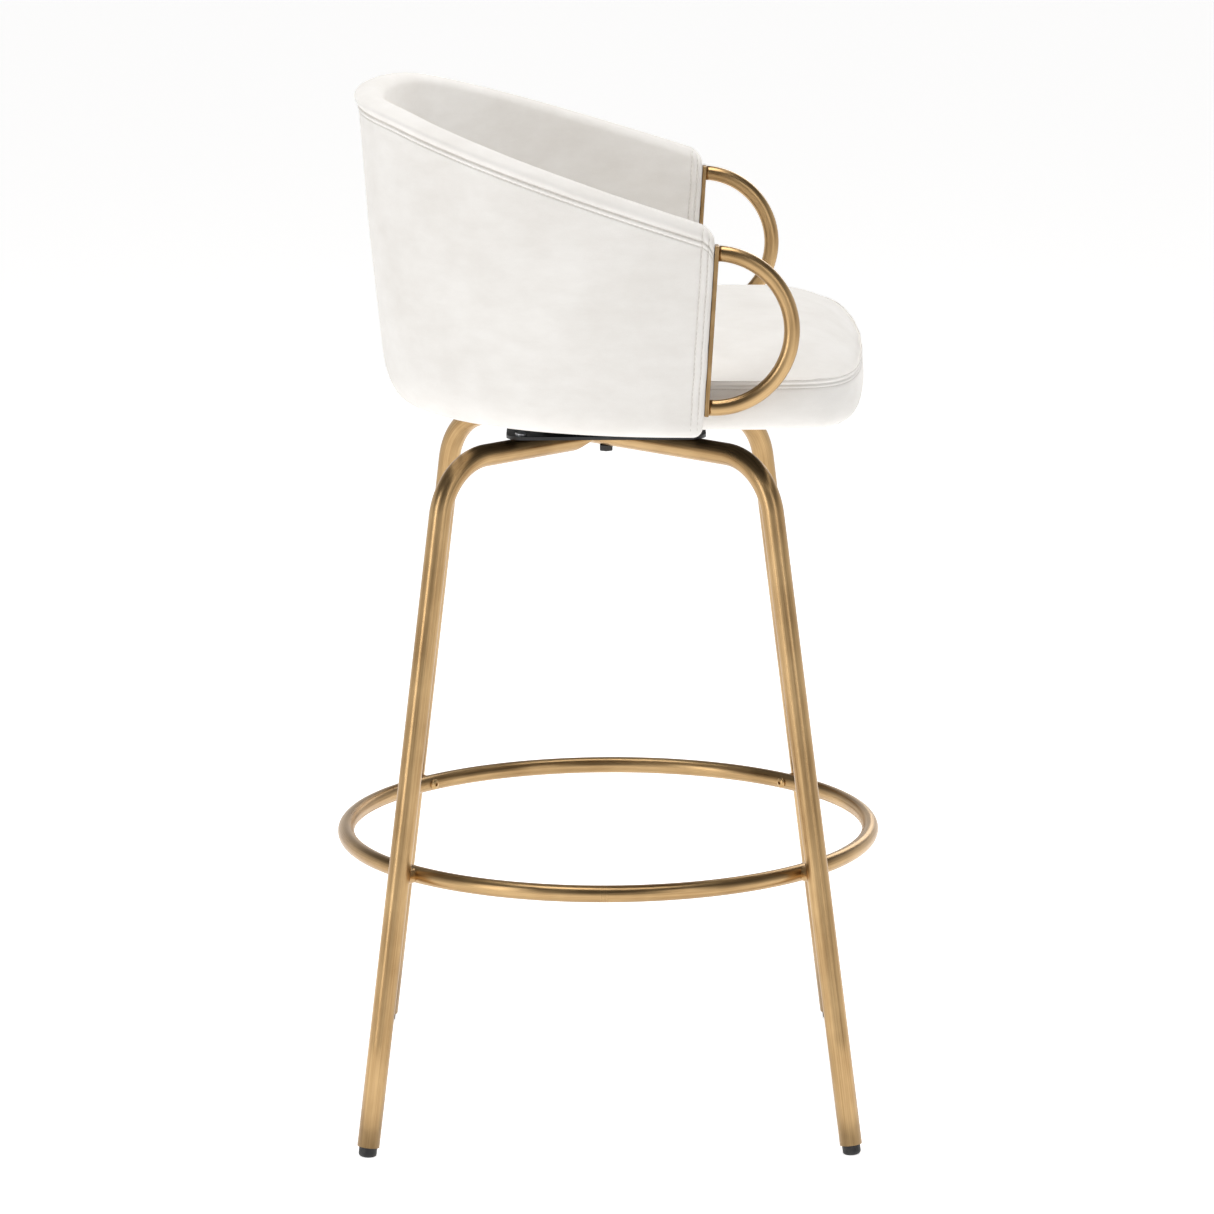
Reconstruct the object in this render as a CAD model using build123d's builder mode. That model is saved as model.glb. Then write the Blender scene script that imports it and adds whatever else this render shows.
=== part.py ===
"""Bar stool with footrest: a tub-backed upholstered seat that turns on a tubular metal base.

Frame: origin on the floor, on the swivel axis. +Z is up, the sitter faces -Y, and +X is
the sitter's left.
"""
import os
from math import atan, cos, degrees, pi, radians, sin, sqrt, tan

from build123d import *

os.makedirs("parts", exist_ok=True)

# ---- driving dimensions, in millimetres ----

# Leg loops: two bent tubes that cross under the seat, one on each diagonal
LEG_TUBE_RADIUS = 10.5
LEG_TUBE_WALL = 1.5
LEG_BEND_RADIUS = 60.0
LEG_TOP_Z = 646.5          # height of the tube's centre-line where it runs level
FOOT_SPREAD = 321.7        # from the swivel axis to a leg's centre-line, at the floor
LEG_SLOPE = 0.1726         # how far a leg moves inwards for each millimetre of height
LEG_END_GAP = 9.0          # from the floor to the tube's cut end, along the leg
LAP_CLEARANCE = 0.2
LAP_LENGTH_FACTOR = 3.0    # length of the lap joint, in tube radii

# Feet: plastic plugs pushed into the tube ends
FOOT_RADIUS = 8.6
FOOT_STEM_LENGTH = 14.0
FOOT_ROUNDING = 4.0
FOOT_TRIM = 1.0            # made this much too long, then cut level with the floor

# Footrest ring, inside the legs
RING_Z = 260.0
RING_RADIUS = 254.0
RING_TUBE_RADIUS = 8.0
RING_TUBE_WALL = 1.5
SPACER_RADIUS = 7.0
SPACER_START = 3.0         # both ends as distances outside the ring's centre-line
SPACER_END = 18.0
RING_SCREW_RADIUS = 2.5
RING_SCREW_HEAD_RADIUS = 4.8
RING_SCREW_HEAD_HEIGHT = 2.8
RING_SCREW_LENGTH = 34.0
RING_SCREW_SOCKET = 1.7
RING_SCREW_SOCKET_FLOOR = 1.0
RING_SCREW_GAP = 0.1
RING_HOLE_CLEARANCE = 0.3
DRILL_OVERRUN = 2.0        # how far a hole's cutter runs past the metal

# Swivel: two square plates with a ball race between them, on a king bolt
PLATE_SIZE = 188.0
PLATE_THICKNESS = 3.0
PLATE_CORNER = 18.0
PLATE_GAP = 12.0
RACE_RADIUS = 54.0
RACE_HALF_WIDTH = 8.0
RACE_HEIGHT = 5.0
BALL_RADIUS = 4.0
BALL_CLEARANCE = 0.06
BALL_COUNT = 24
KING_BOLT_RADIUS = 4.0
KING_FIT = 0.06            # radial running clearance of the turning plate on the bolt
KING_HEAD_RADIUS = 7.0
KING_HEAD_HEIGHT = 5.5
KING_HEAD_CHAMFER = 0.8
KING_CLEARANCE = 0.3
KING_BOLT_RISE = 12.0      # how far it stands above the turning plate
WASHER_RADIUS = 10.0
WASHER_THICKNESS = 1.5
WASHER_GAP = 0.3
NUT_RADIUS = 7.5
NUT_HEIGHT = 8.0
PLATE_SCREW_RADIUS = 3.0
PLATE_SCREW_HEAD_RADIUS = 5.5
PLATE_SCREW_HEAD_HEIGHT = 2.5
PLATE_SCREW_HEAD_ROUND = 1.5
FRAME_SCREW_REACH = 7.0    # below the lower plate
SEAT_SCREW_REACH = 10.0    # into the board
FRAME_SCREW_SPREAD = 80.0
SEAT_SCREW_SPREAD = 72.0

# Seat: riser block, plywood board, cushion and dust cover
RISER_HEIGHT = 23.0
NUT_POCKET_RADIUS = 14.0
BOARD_THICKNESS = 12.0
BOARD_INSET = 13.0
BOARD_STEP = 22.0          # behind the arms' fronts, where the board widens to fill the tub
CUSHION_HALF_WIDTH = 275.0
CUSHION_FRONT_Y = -244.0
CUSHION_FRONT_BOW = 20.0
CUSHION_CORNER = 52.0
CUSHION_HEIGHT = 85.0
CUSHION_TOP_ROUND = 26.0
CUSHION_LIFT = 1.0
DUST_COVER_THICKNESS = 1.5
DUST_COVER_INSET = 24.5    # from the tub's outside, under the fabric's turned-in hem
DUST_COVER_CLEARANCE = 2.0

# Back shell: a bent plywood core between two pads, open to the front
SHELL_HALF_WIDTH = 302.0
SHELL_CENTRE_Y = -97.0     # where the straight arms end and the curved back begins
SHELL_BOTTOM_DEPTH = 305.0
SHELL_TOP_DEPTH = 331.0
SHELL_BOTTOM_POWER = 2.1
SHELL_TOP_POWER = 2.4
SHELL_TOP_Z = 981.0
SHELL_BOTTOM_Z = 695.0
OUTER_PAD = 7.0
CORE_THICKNESS = 9.0
INNER_PAD = 8.0
EDGE_ROLL = 11.0           # how far the core stops short of the padded rim and front edges
CORE_BOTTOM_LIP = 4.0
RIM_SLOPE = 0.317
RIM_LEVEL_Y = 211.0        # behind this the rim runs level
RIM_FRONT_ROUND = 14.0
RIM_BACK_ROUND = 150.0
FRONT_BOTTOM_ROUND = 9.0
BLANK_MARGIN = 10.0        # how far the tub's blanks run past its top and bottom
BLANK_FRONT = 60.0         # and past the arms' fronts
PROFILE_MARGIN = 90.0
SHELL_SCREW_RADIUS = 3.0
SHELL_SCREW_LENGTH = 42.0
SHELL_SCREW_SINK = 2.5
SHELL_SCREW_AZIMUTHS = (8, 48, 78, 102, 132, 172)

# Arm handles: a half circle of tube welded to a flat strip on each arm's front edge
HANDLE_X = 290.0
HANDLE_Y = -97.0           # the strip's front face at the middle of the handle
HANDLE_Z = 790.5
HANDLE_RADIUS = 70.0
HANDLE_TUBE_RADIUS = 7.2
HANDLE_TUBE_WALL = 1.2
HANDLE_LEAN = 3.7          # degrees, top forwards
STRIP_WIDTH = 18.0
STRIP_THICKNESS = 4.0
STRIP_CORNER = 3.0
STRIP_GAP = 0.1
STRIP_SCREW_SPREAD = 45.0
STRIP_SCREW_RADIUS = 2.0
STRIP_SCREW_HEAD_RADIUS = 4.0
STRIP_SCREW_LENGTH = 32.0
STRIP_SCREW_HEAD_HEIGHT = 2.0

# ---- heights that follow from them ----

LOWER_PLATE_Z = LEG_TOP_Z + LEG_TUBE_RADIUS
RACE_Z = LOWER_PLATE_Z + PLATE_THICKNESS
BALL_Z = RACE_Z + PLATE_GAP / 2
UPPER_PLATE_Z = RACE_Z + PLATE_GAP
RISER_Z = UPPER_PLATE_Z + PLATE_THICKNESS
BOARD_Z = RISER_Z + RISER_HEIGHT
LEG_ANGLE = degrees(atan(LEG_SLOPE))
LEG_AT_RING = FOOT_SPREAD - LEG_SLOPE * RING_Z
SPLINE_STEPS = 8
DIAGONALS = (45, 135)
CORNERS = {"rear_left": 45, "rear_right": 135, "front_right": 225, "front_left": 315}


def upright_plane(azimuth):
    """A vertical plane through the swivel axis: local X points outwards, local Y up."""
    outward = Vector(cos(radians(azimuth)), sin(radians(azimuth)), 0)
    return Plane(origin=(0, 0, 0), x_dir=outward, z_dir=outward.cross(Vector(0, 0, 1)))


def leg_line(distance):
    """Point on a leg's centre-line, as (radius, height), at a distance from the floor."""
    lean = radians(LEG_ANGLE)
    return FOOT_SPREAD - distance * sin(lean), distance * cos(lean)


def leg_solid(azimuth, tube_radius):
    """A solid bar along one bent leg loop."""
    plane = upright_plane(azimuth)
    end_s, end_z = leg_line(LEG_END_GAP)
    top_s = FOOT_SPREAD - LEG_SLOPE * LEG_TOP_Z
    route = [(-end_s, end_z), (-top_s, LEG_TOP_Z), (top_s, LEG_TOP_Z), (end_s, end_z)]
    with BuildPart() as bar:
        with BuildLine(plane) as path:
            FilletPolyline(*route, radius=LEG_BEND_RADIUS)
        with BuildSketch(Plane(origin=path.line @ 0, z_dir=path.line % 0)):
            Circle(tube_radius)
        sweep(path=path.line)
    return bar.part


def radial_bar(azimuth, height, start, end, radius):
    """A round bar along a radius of the stool, from one distance to another."""
    outward = Vector(cos(radians(azimuth)), sin(radians(azimuth)), 0)
    with BuildPart() as bar:
        with BuildSketch(Plane(origin=outward * start + Vector(0, 0, height), z_dir=outward)):
            Circle(radius)
        extrude(amount=end - start)
    return bar.part


def upright_bar(x, y, bottom, top, radius):
    """A round bar standing upright."""
    with BuildPart() as bar:
        with BuildSketch(Plane.XY.offset(bottom)):
            with Locations((x, y)):
                Circle(radius)
        extrude(amount=top - bottom)
    return bar.part


def save(piece, name):
    """Label a finished piece and write its file."""
    piece.part.label = name
    export_step(piece.part, f"parts/{name}.step")


# ---- leg loops ----
# The two loops cross at one height: each keeps half of the tube at the crossing,
# the first the upper half and the second the lower half.

leg_bars = {azimuth: leg_solid(azimuth, LEG_TUBE_RADIUS) for azimuth in DIAGONALS}
LAP_WIDTH = 2 * LEG_TUBE_RADIUS + LAP_CLEARANCE
LAP_LENGTH = LAP_LENGTH_FACTOR * LEG_TUBE_RADIUS
lap_side = {135: -1, 45: 1}
leg_names = {135: "leg_loop_upper", 45: "leg_loop_lower"}
for azimuth in DIAGONALS:
    side = lap_side[azimuth]
    with BuildPart() as leg_loop:
        add(leg_bars[azimuth])
        add(leg_solid(azimuth, LEG_TUBE_RADIUS - LEG_TUBE_WALL), mode=Mode.SUBTRACT)
        with BuildSketch(Plane.XY.offset(LEG_TOP_Z)):
            Rectangle(LAP_LENGTH, LAP_WIDTH, rotation=azimuth + 90)
        extrude(amount=side * (LEG_TUBE_RADIUS + DRILL_OVERRUN), mode=Mode.SUBTRACT)
        add(upright_bar(0, 0, LEG_TOP_Z - 2 * LEG_TUBE_RADIUS, LEG_TOP_Z + 2 * LEG_TUBE_RADIUS,
                        KING_BOLT_RADIUS + KING_CLEARANCE), mode=Mode.SUBTRACT)
        for leg in (azimuth, azimuth + 180):
            add(radial_bar(leg, RING_Z, RING_RADIUS, LEG_AT_RING, RING_SCREW_RADIUS),
                mode=Mode.SUBTRACT)
            screw_reach = FRAME_SCREW_SPREAD * sqrt(2)
            x = screw_reach * cos(radians(leg))
            y = screw_reach * sin(radians(leg))
            add(upright_bar(x, y, LEG_TOP_Z, LOWER_PLATE_Z, PLATE_SCREW_RADIUS),
                mode=Mode.SUBTRACT)
    save(leg_loop, leg_names[azimuth])

# ---- feet ----
for corner, azimuth in CORNERS.items():
    floor_point = upright_plane(azimuth).from_local_coords(Vector(FOOT_SPREAD, 0, 0))
    end_s, end_z = leg_line(LEG_END_GAP)
    end_point = upright_plane(azimuth).from_local_coords(Vector(end_s, end_z, 0))
    up_leg = end_point - floor_point
    with BuildPart() as foot:
        with BuildSketch(Plane(origin=end_point, z_dir=up_leg)):
            Circle(LEG_TUBE_RADIUS - LEG_TUBE_WALL)
        extrude(amount=FOOT_STEM_LENGTH)
        with BuildSketch(Plane(origin=end_point, z_dir=up_leg * -1)):
            Circle(FOOT_RADIUS)
        extrude(amount=LEG_END_GAP + FOOT_TRIM)
        fillet(foot.edges().group_by(Axis.Z)[0], radius=FOOT_ROUNDING)
        split(bisect_by=Plane.XY, keep=Keep.TOP)
    save(foot, f"foot_{corner}")

# ---- footrest ring ----
with BuildPart() as ring_bar:
    with BuildSketch(Plane.XZ):
        with Locations((RING_RADIUS, RING_Z)):
            Circle(RING_TUBE_RADIUS)
    revolve(axis=Axis.Z)

# The ring tube is made as two halves, each with its two screw holes, and then joined
drill_reach = RING_TUBE_RADIUS + DRILL_OVERRUN
with BuildPart() as ring_half:
    with BuildSketch(Plane.XZ):
        with Locations((RING_RADIUS, RING_Z)):
            Circle(RING_TUBE_RADIUS)
            Circle(RING_TUBE_RADIUS - RING_TUBE_WALL, mode=Mode.SUBTRACT)
    revolve(axis=Axis.Z, revolution_arc=180)
    for azimuth in DIAGONALS:
        add(radial_bar(azimuth, RING_Z, RING_RADIUS - drill_reach, RING_RADIUS + drill_reach,
                       RING_SCREW_RADIUS + RING_HOLE_CLEARANCE), mode=Mode.SUBTRACT)

with BuildPart() as footrest_ring:
    add(ring_half.part)
    add(ring_half.part.rotate(Axis.Z, 180))
save(footrest_ring, "footrest_ring")

# Spacers between the ring and each leg, cut to sit on both round tubes
with BuildPart() as ring_spacers:
    for azimuth in CORNERS.values():
        add(radial_bar(azimuth, RING_Z, RING_RADIUS + SPACER_START, RING_RADIUS + SPACER_END,
                       SPACER_RADIUS))
        add(radial_bar(azimuth, RING_Z, RING_RADIUS, LEG_AT_RING, RING_SCREW_RADIUS),
            mode=Mode.SUBTRACT)
    add(ring_bar.part, mode=Mode.SUBTRACT)
    for bar in leg_bars.values():
        add(bar, mode=Mode.SUBTRACT)
save(ring_spacers, "ring_spacers")

# Button-head screws, driven from inside the ring into the legs
with BuildPart() as ring_screws:
    head_face = RING_RADIUS - RING_TUBE_RADIUS - RING_SCREW_GAP
    head_top = head_face - RING_SCREW_HEAD_HEIGHT
    socket_floor = head_face - RING_SCREW_SOCKET_FLOOR
    for azimuth in CORNERS.values():
        add(radial_bar(azimuth, RING_Z, head_face, head_face + RING_SCREW_LENGTH,
                       RING_SCREW_RADIUS))
        add(radial_bar(azimuth, RING_Z, head_top, head_face, RING_SCREW_HEAD_RADIUS))
        add(radial_bar(azimuth, RING_Z, head_top, socket_floor, RING_SCREW_SOCKET),
            mode=Mode.SUBTRACT)
save(ring_screws, "ring_screws")

# ---- swivel ----
frame_screw_grid = GridLocations(2 * FRAME_SCREW_SPREAD, 2 * FRAME_SCREW_SPREAD, 2, 2)
seat_screw_grid = GridLocations(2 * SEAT_SCREW_SPREAD, 2 * SEAT_SCREW_SPREAD, 2, 2)
screw_holes = {"swivel_lower_plate": frame_screw_grid, "swivel_upper_plate": seat_screw_grid}
king_hole = {"swivel_lower_plate": KING_BOLT_RADIUS, "swivel_upper_plate":
             KING_BOLT_RADIUS + KING_FIT}
race_start = {"swivel_lower_plate": RACE_Z, "swivel_upper_plate": UPPER_PLATE_Z - RACE_HEIGHT}
plate_start = {"swivel_lower_plate": LOWER_PLATE_Z, "swivel_upper_plate": UPPER_PLATE_Z}
for name, holes in screw_holes.items():
    with BuildPart() as plate:
        with BuildSketch(Plane.XY.offset(plate_start[name])):
            RectangleRounded(PLATE_SIZE, PLATE_SIZE, PLATE_CORNER)
            Circle(king_hole[name], mode=Mode.SUBTRACT)
            with holes:
                Circle(PLATE_SCREW_RADIUS, mode=Mode.SUBTRACT)
        extrude(amount=PLATE_THICKNESS)
        with BuildSketch(Plane.XY.offset(race_start[name])):
            Circle(RACE_RADIUS + RACE_HALF_WIDTH)
            Circle(RACE_RADIUS - RACE_HALF_WIDTH, mode=Mode.SUBTRACT)
        extrude(amount=RACE_HEIGHT)
        with BuildSketch(Plane.XZ):
            with Locations((RACE_RADIUS, BALL_Z)):
                Circle(BALL_RADIUS + BALL_CLEARANCE)
        revolve(axis=Axis.Z, mode=Mode.SUBTRACT)
    save(plate, name)

with BuildPart() as swivel_balls:
    with Locations(Plane.XY.offset(BALL_Z)):
        with PolarLocations(RACE_RADIUS, BALL_COUNT):
            Sphere(BALL_RADIUS)
save(swivel_balls, "swivel_balls")

with BuildPart() as king_bolt:
    head_z = LEG_TOP_Z - LEG_TUBE_RADIUS
    with BuildSketch(Plane.XY.offset(head_z)):
        RegularPolygon(KING_HEAD_RADIUS, 6)
    extrude(amount=-KING_HEAD_HEIGHT)
    with BuildSketch(Plane.XY.offset(head_z)):
        Circle(KING_BOLT_RADIUS)
    extrude(amount=RISER_Z + KING_BOLT_RISE - head_z)
    chamfer(king_bolt.faces().sort_by(Axis.Z)[0].edges(), length=KING_HEAD_CHAMFER)
save(king_bolt, "king_bolt")

with BuildPart() as king_nut:
    washer_z = RISER_Z + WASHER_GAP
    with BuildSketch(Plane.XY.offset(washer_z)):
        Circle(WASHER_RADIUS)
        Circle(KING_BOLT_RADIUS, mode=Mode.SUBTRACT)
    extrude(amount=WASHER_THICKNESS)
    with BuildSketch(Plane.XY.offset(washer_z + WASHER_THICKNESS)):
        RegularPolygon(NUT_RADIUS, 6)
        Circle(KING_BOLT_RADIUS, mode=Mode.SUBTRACT)
    extrude(amount=NUT_HEIGHT)
save(king_nut, "king_nut")

# Pan-head screws: frame screws go down into the leg tubes, seat screws up into the board
with BuildPart() as frame_screws:
    with BuildSketch(Plane.XY.offset(RACE_Z)):
        with frame_screw_grid:
            Circle(PLATE_SCREW_HEAD_RADIUS)
    extrude(amount=PLATE_SCREW_HEAD_HEIGHT)
    fillet(frame_screws.faces().group_by(Axis.Z)[-1].edges(), radius=PLATE_SCREW_HEAD_ROUND)
    with BuildSketch(Plane.XY.offset(RACE_Z)):
        with frame_screw_grid:
            Circle(PLATE_SCREW_RADIUS)
    extrude(amount=-PLATE_THICKNESS - FRAME_SCREW_REACH)
save(frame_screws, "frame_screws")

with BuildPart() as seat_screws:
    with BuildSketch(Plane.XY.offset(UPPER_PLATE_Z)):
        with seat_screw_grid:
            Circle(PLATE_SCREW_HEAD_RADIUS)
    extrude(amount=-PLATE_SCREW_HEAD_HEIGHT)
    fillet(seat_screws.faces().group_by(Axis.Z)[0].edges(), radius=PLATE_SCREW_HEAD_ROUND)
    with BuildSketch(Plane.XY.offset(UPPER_PLATE_Z)):
        with seat_screw_grid:
            Circle(PLATE_SCREW_RADIUS)
    extrude(amount=PLATE_THICKNESS + RISER_HEIGHT + SEAT_SCREW_REACH)
save(seat_screws, "seat_screws")

# ---- tub outlines ----


def curved_back(half_width, depth, power):
    """Points round the curved back, from the left arm to the right arm."""
    points = []
    for step in range(2 * SPLINE_STEPS + 1):
        turn = pi * step / (2 * SPLINE_STEPS)
        across = abs(cos(turn)) ** (2 / power) * (1 if turn < pi / 2 else -1)
        points.append((half_width * across, SHELL_CENTRE_Y + depth * sin(turn) ** (2 / power)))
    return points


def tub_blank(inset):
    """A solid the shape of the tub, with its walls moved in by inset."""
    levels = ((SHELL_BOTTOM_Z - BLANK_MARGIN, SHELL_BOTTOM_DEPTH, SHELL_BOTTOM_POWER),
              (SHELL_TOP_Z + BLANK_MARGIN, SHELL_TOP_DEPTH, SHELL_TOP_POWER))
    half_width = SHELL_HALF_WIDTH - inset
    front_y = SHELL_CENTRE_Y - BLANK_FRONT
    with BuildPart() as blank:
        for height, depth, power in levels:
            with BuildSketch(Plane.XY.offset(height)):
                with BuildLine():
                    Line((half_width, front_y), (half_width, SHELL_CENTRE_Y))
                    Spline(*curved_back(half_width, depth - inset, power),
                           tangents=((0, 1), (0, -1)))
                    Line((-half_width, SHELL_CENTRE_Y), (-half_width, front_y))
                    Line((-half_width, front_y), (half_width, front_y))
                make_face()
        loft(ruled=True)
    return blank.part


def side_profile(inset, bottom_inset):
    """A slab across the stool with the tub's side outline, moved in from its edges."""
    lean = tan(radians(HANDLE_LEAN))
    face_y = HANDLE_Y + STRIP_THICKNESS + STRIP_GAP + inset
    bottom = SHELL_BOTTOM_Z + bottom_inset
    top = SHELL_TOP_Z - inset
    front_bottom_y = face_y + lean * (HANDLE_Z - bottom)
    front_top_z = top - RIM_SLOPE * (RIM_LEVEL_Y - HANDLE_Y)
    front_top_y = face_y - lean * (front_top_z - HANDLE_Z)
    back_y = RIM_LEVEL_Y + PROFILE_MARGIN
    route = [(back_y, bottom), (front_bottom_y, bottom), (front_top_y, front_top_z),
             (RIM_LEVEL_Y, top), (back_y, top)]
    with BuildPart() as slab:
        with BuildSketch(Plane.YZ):
            with BuildLine() as outline:
                FilletPolyline(*route, radius=[FRONT_BOTTOM_ROUND, RIM_FRONT_ROUND,
                                               RIM_BACK_ROUND])
                Line(outline.line @ 1, outline.line @ 0)
            make_face()
        extrude(amount=SHELL_HALF_WIDTH + BLANK_MARGIN, both=True)
    return slab.part


outer_blank = tub_blank(0)
core_blank = tub_blank(OUTER_PAD)
lining_blank = tub_blank(OUTER_PAD + CORE_THICKNESS)
hollow_blank = tub_blank(OUTER_PAD + CORE_THICKNESS + INNER_PAD)
full_profile = side_profile(0, 0)
core_profile = side_profile(EDGE_ROLL, CORE_BOTTOM_LIP)

# ---- seat board, riser and dust cover ----
BOARD_STEP_Y = SHELL_CENTRE_Y + BOARD_STEP


def cushion_outline(inset):
    """The seat's plan: curved back, straight sides, rounded corners and a bowed front."""
    half_width = CUSHION_HALF_WIDTH - inset
    back_depth = SHELL_BOTTOM_DEPTH - (SHELL_HALF_WIDTH - half_width)
    front_y = CUSHION_FRONT_Y + inset
    side_y = front_y + CUSHION_FRONT_BOW
    with BuildSketch() as plan:
        with BuildLine():
            Line((half_width, side_y), (half_width, SHELL_CENTRE_Y))
            Spline(*curved_back(half_width, back_depth, SHELL_BOTTOM_POWER),
                   tangents=((0, 1), (0, -1)))
            Line((-half_width, SHELL_CENTRE_Y), (-half_width, side_y))
            ThreePointArc((-half_width, side_y), (0, front_y), (half_width, side_y))
        make_face()
        fillet(plan.vertices().group_by(Axis.Y)[0], radius=CUSHION_CORNER - inset)
    return plan.sketch


def slab_behind(front_y, bottom, height):
    """A level slab across the stool, from front_y backwards."""
    with BuildPart() as slab:
        with BuildSketch(Plane.XY.offset(bottom)):
            with Locations((0, front_y)):
                Rectangle(3 * SHELL_HALF_WIDTH, 2 * SHELL_HALF_WIDTH,
                          align=(Align.CENTER, Align.MIN))
        extrude(amount=height)
    return slab.part


WALL_TOLERANCE = 0.01


def wall_distance(azimuth, half_width, depth, power):
    """How far the tub's outline is from the swivel axis, in one direction."""
    near, far = 0.0, 2 * half_width
    while far - near > WALL_TOLERANCE:
        middle = (near + far) / 2
        across = abs(middle * cos(radians(azimuth))) / half_width
        along = (middle * sin(radians(azimuth)) - SHELL_CENTRE_Y) / depth
        if across ** power + along ** power < 1:
            near = middle
        else:
            far = middle
    return near


# Screws driven through the core into the board's edge. They cut their own way through
# the plywood, so the core has no holes for them.
with BuildPart() as back_screws:
    for azimuth in SHELL_SCREW_AZIMUTHS:
        outer_end = wall_distance(azimuth, SHELL_HALF_WIDTH - OUTER_PAD,
                                  SHELL_BOTTOM_DEPTH - OUTER_PAD, SHELL_BOTTOM_POWER)
        add(radial_bar(azimuth, BOARD_Z + BOARD_THICKNESS / 2, outer_end - SHELL_SCREW_LENGTH,
                       outer_end - SHELL_SCREW_SINK, SHELL_SCREW_RADIUS))
save(back_screws, "back_screws")

# The board fills the tub behind the arms, and is narrower where the cushion wraps it
with BuildPart() as tub_floor:
    add(slab_behind(BOARD_STEP_Y, BOARD_Z, BOARD_THICKNESS))
    add(lining_blank, mode=Mode.INTERSECT)

with BuildPart() as seat_board:
    with BuildSketch(Plane.XY.offset(BOARD_Z)):
        add(cushion_outline(BOARD_INSET))
    extrude(amount=BOARD_THICKNESS)
    add(tub_floor.part)
board_blank = seat_board.part
with BuildPart() as seat_board:
    add(board_blank)
    add(seat_screws.part, mode=Mode.SUBTRACT)
    add(back_screws.part, mode=Mode.SUBTRACT)
save(seat_board, "seat_board")

with BuildPart() as riser_block:
    with BuildSketch(Plane.XY.offset(RISER_Z)):
        RectangleRounded(PLATE_SIZE, PLATE_SIZE, PLATE_CORNER)
        Circle(NUT_POCKET_RADIUS, mode=Mode.SUBTRACT)
    extrude(amount=RISER_HEIGHT)
    add(seat_screws.part, mode=Mode.SUBTRACT)
save(riser_block, "riser_block")

with BuildPart() as tub_underside:
    add(slab_behind(BOARD_STEP_Y, BOARD_Z - DUST_COVER_THICKNESS, DUST_COVER_THICKNESS))
    add(tub_blank(DUST_COVER_INSET), mode=Mode.INTERSECT)

with BuildPart() as dust_cover:
    with BuildSketch(Plane.XY.offset(BOARD_Z)):
        add(cushion_outline(BOARD_INSET))
    extrude(amount=-DUST_COVER_THICKNESS)
    add(tub_underside.part)
    with BuildSketch(Plane.XY.offset(BOARD_Z)):
        RectangleRounded(PLATE_SIZE + DUST_COVER_CLEARANCE, PLATE_SIZE + DUST_COVER_CLEARANCE,
                         PLATE_CORNER)
    extrude(amount=-DUST_COVER_THICKNESS, mode=Mode.SUBTRACT)
save(dust_cover, "dust_cover")

# ---- seat cushion ----
cushion_z = BOARD_Z + CUSHION_LIFT
shoulder_z = cushion_z + CUSHION_HEIGHT - CUSHION_TOP_ROUND
with BuildPart() as seat_cushion:
    with BuildSketch(Plane.XY.offset(cushion_z)):
        add(cushion_outline(0))
    extrude(amount=shoulder_z - cushion_z)
    for inset in (0, CUSHION_TOP_ROUND):
        with BuildSketch(Plane.XY.offset(shoulder_z + inset)):
            add(cushion_outline(inset))
    loft(ruled=True)
    add(board_blank, mode=Mode.SUBTRACT)
save(seat_cushion, "seat_cushion")

# ---- back shell, from the outside in ----


def handle_plane(side):
    """The front face of one arm's strip: local X across, local Y up the strip."""
    lean = radians(HANDLE_LEAN)
    return Plane(origin=(side * HANDLE_X, HANDLE_Y, HANDLE_Z), x_dir=(1, 0, 0),
                 z_dir=(0, -cos(lean), -sin(lean)))


# Flush screws through the strips into the core's front edges
with BuildPart() as strip_screws:
    for side in (-1, 1):
        face = handle_plane(side)
        for height in (-STRIP_SCREW_SPREAD, STRIP_SCREW_SPREAD):
            with BuildSketch(face):
                with Locations((0, height)):
                    Circle(STRIP_SCREW_RADIUS)
            extrude(amount=-STRIP_SCREW_LENGTH)
            with BuildSketch(face):
                with Locations((0, height)):
                    Circle(STRIP_SCREW_HEAD_RADIUS)
            extrude(amount=-STRIP_SCREW_HEAD_HEIGHT)
save(strip_screws, "strip_screws")

with BuildPart() as back_outer_pad:
    add(outer_blank)
    add(core_blank, mode=Mode.SUBTRACT)
    add(full_profile, mode=Mode.INTERSECT)
save(back_outer_pad, "back_outer_pad")

with BuildPart() as back_core:
    add(core_blank)
    add(lining_blank, mode=Mode.SUBTRACT)
    add(core_profile, mode=Mode.INTERSECT)
core_solid = back_core.part
with BuildPart() as back_core:
    add(core_solid)
    add(strip_screws.part, mode=Mode.SUBTRACT)
save(back_core, "back_core")

with BuildPart() as back_edge_roll:
    add(core_blank)
    add(lining_blank, mode=Mode.SUBTRACT)
    add(full_profile, mode=Mode.INTERSECT)
    add(core_solid, mode=Mode.SUBTRACT)
    add(strip_screws.part, mode=Mode.SUBTRACT)
save(back_edge_roll, "back_edge_roll")

with BuildPart() as back_inner_pad:
    add(lining_blank)
    add(hollow_blank, mode=Mode.SUBTRACT)
    add(full_profile, mode=Mode.INTERSECT)
    add(board_blank, mode=Mode.SUBTRACT)
save(back_inner_pad, "back_inner_pad")

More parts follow.
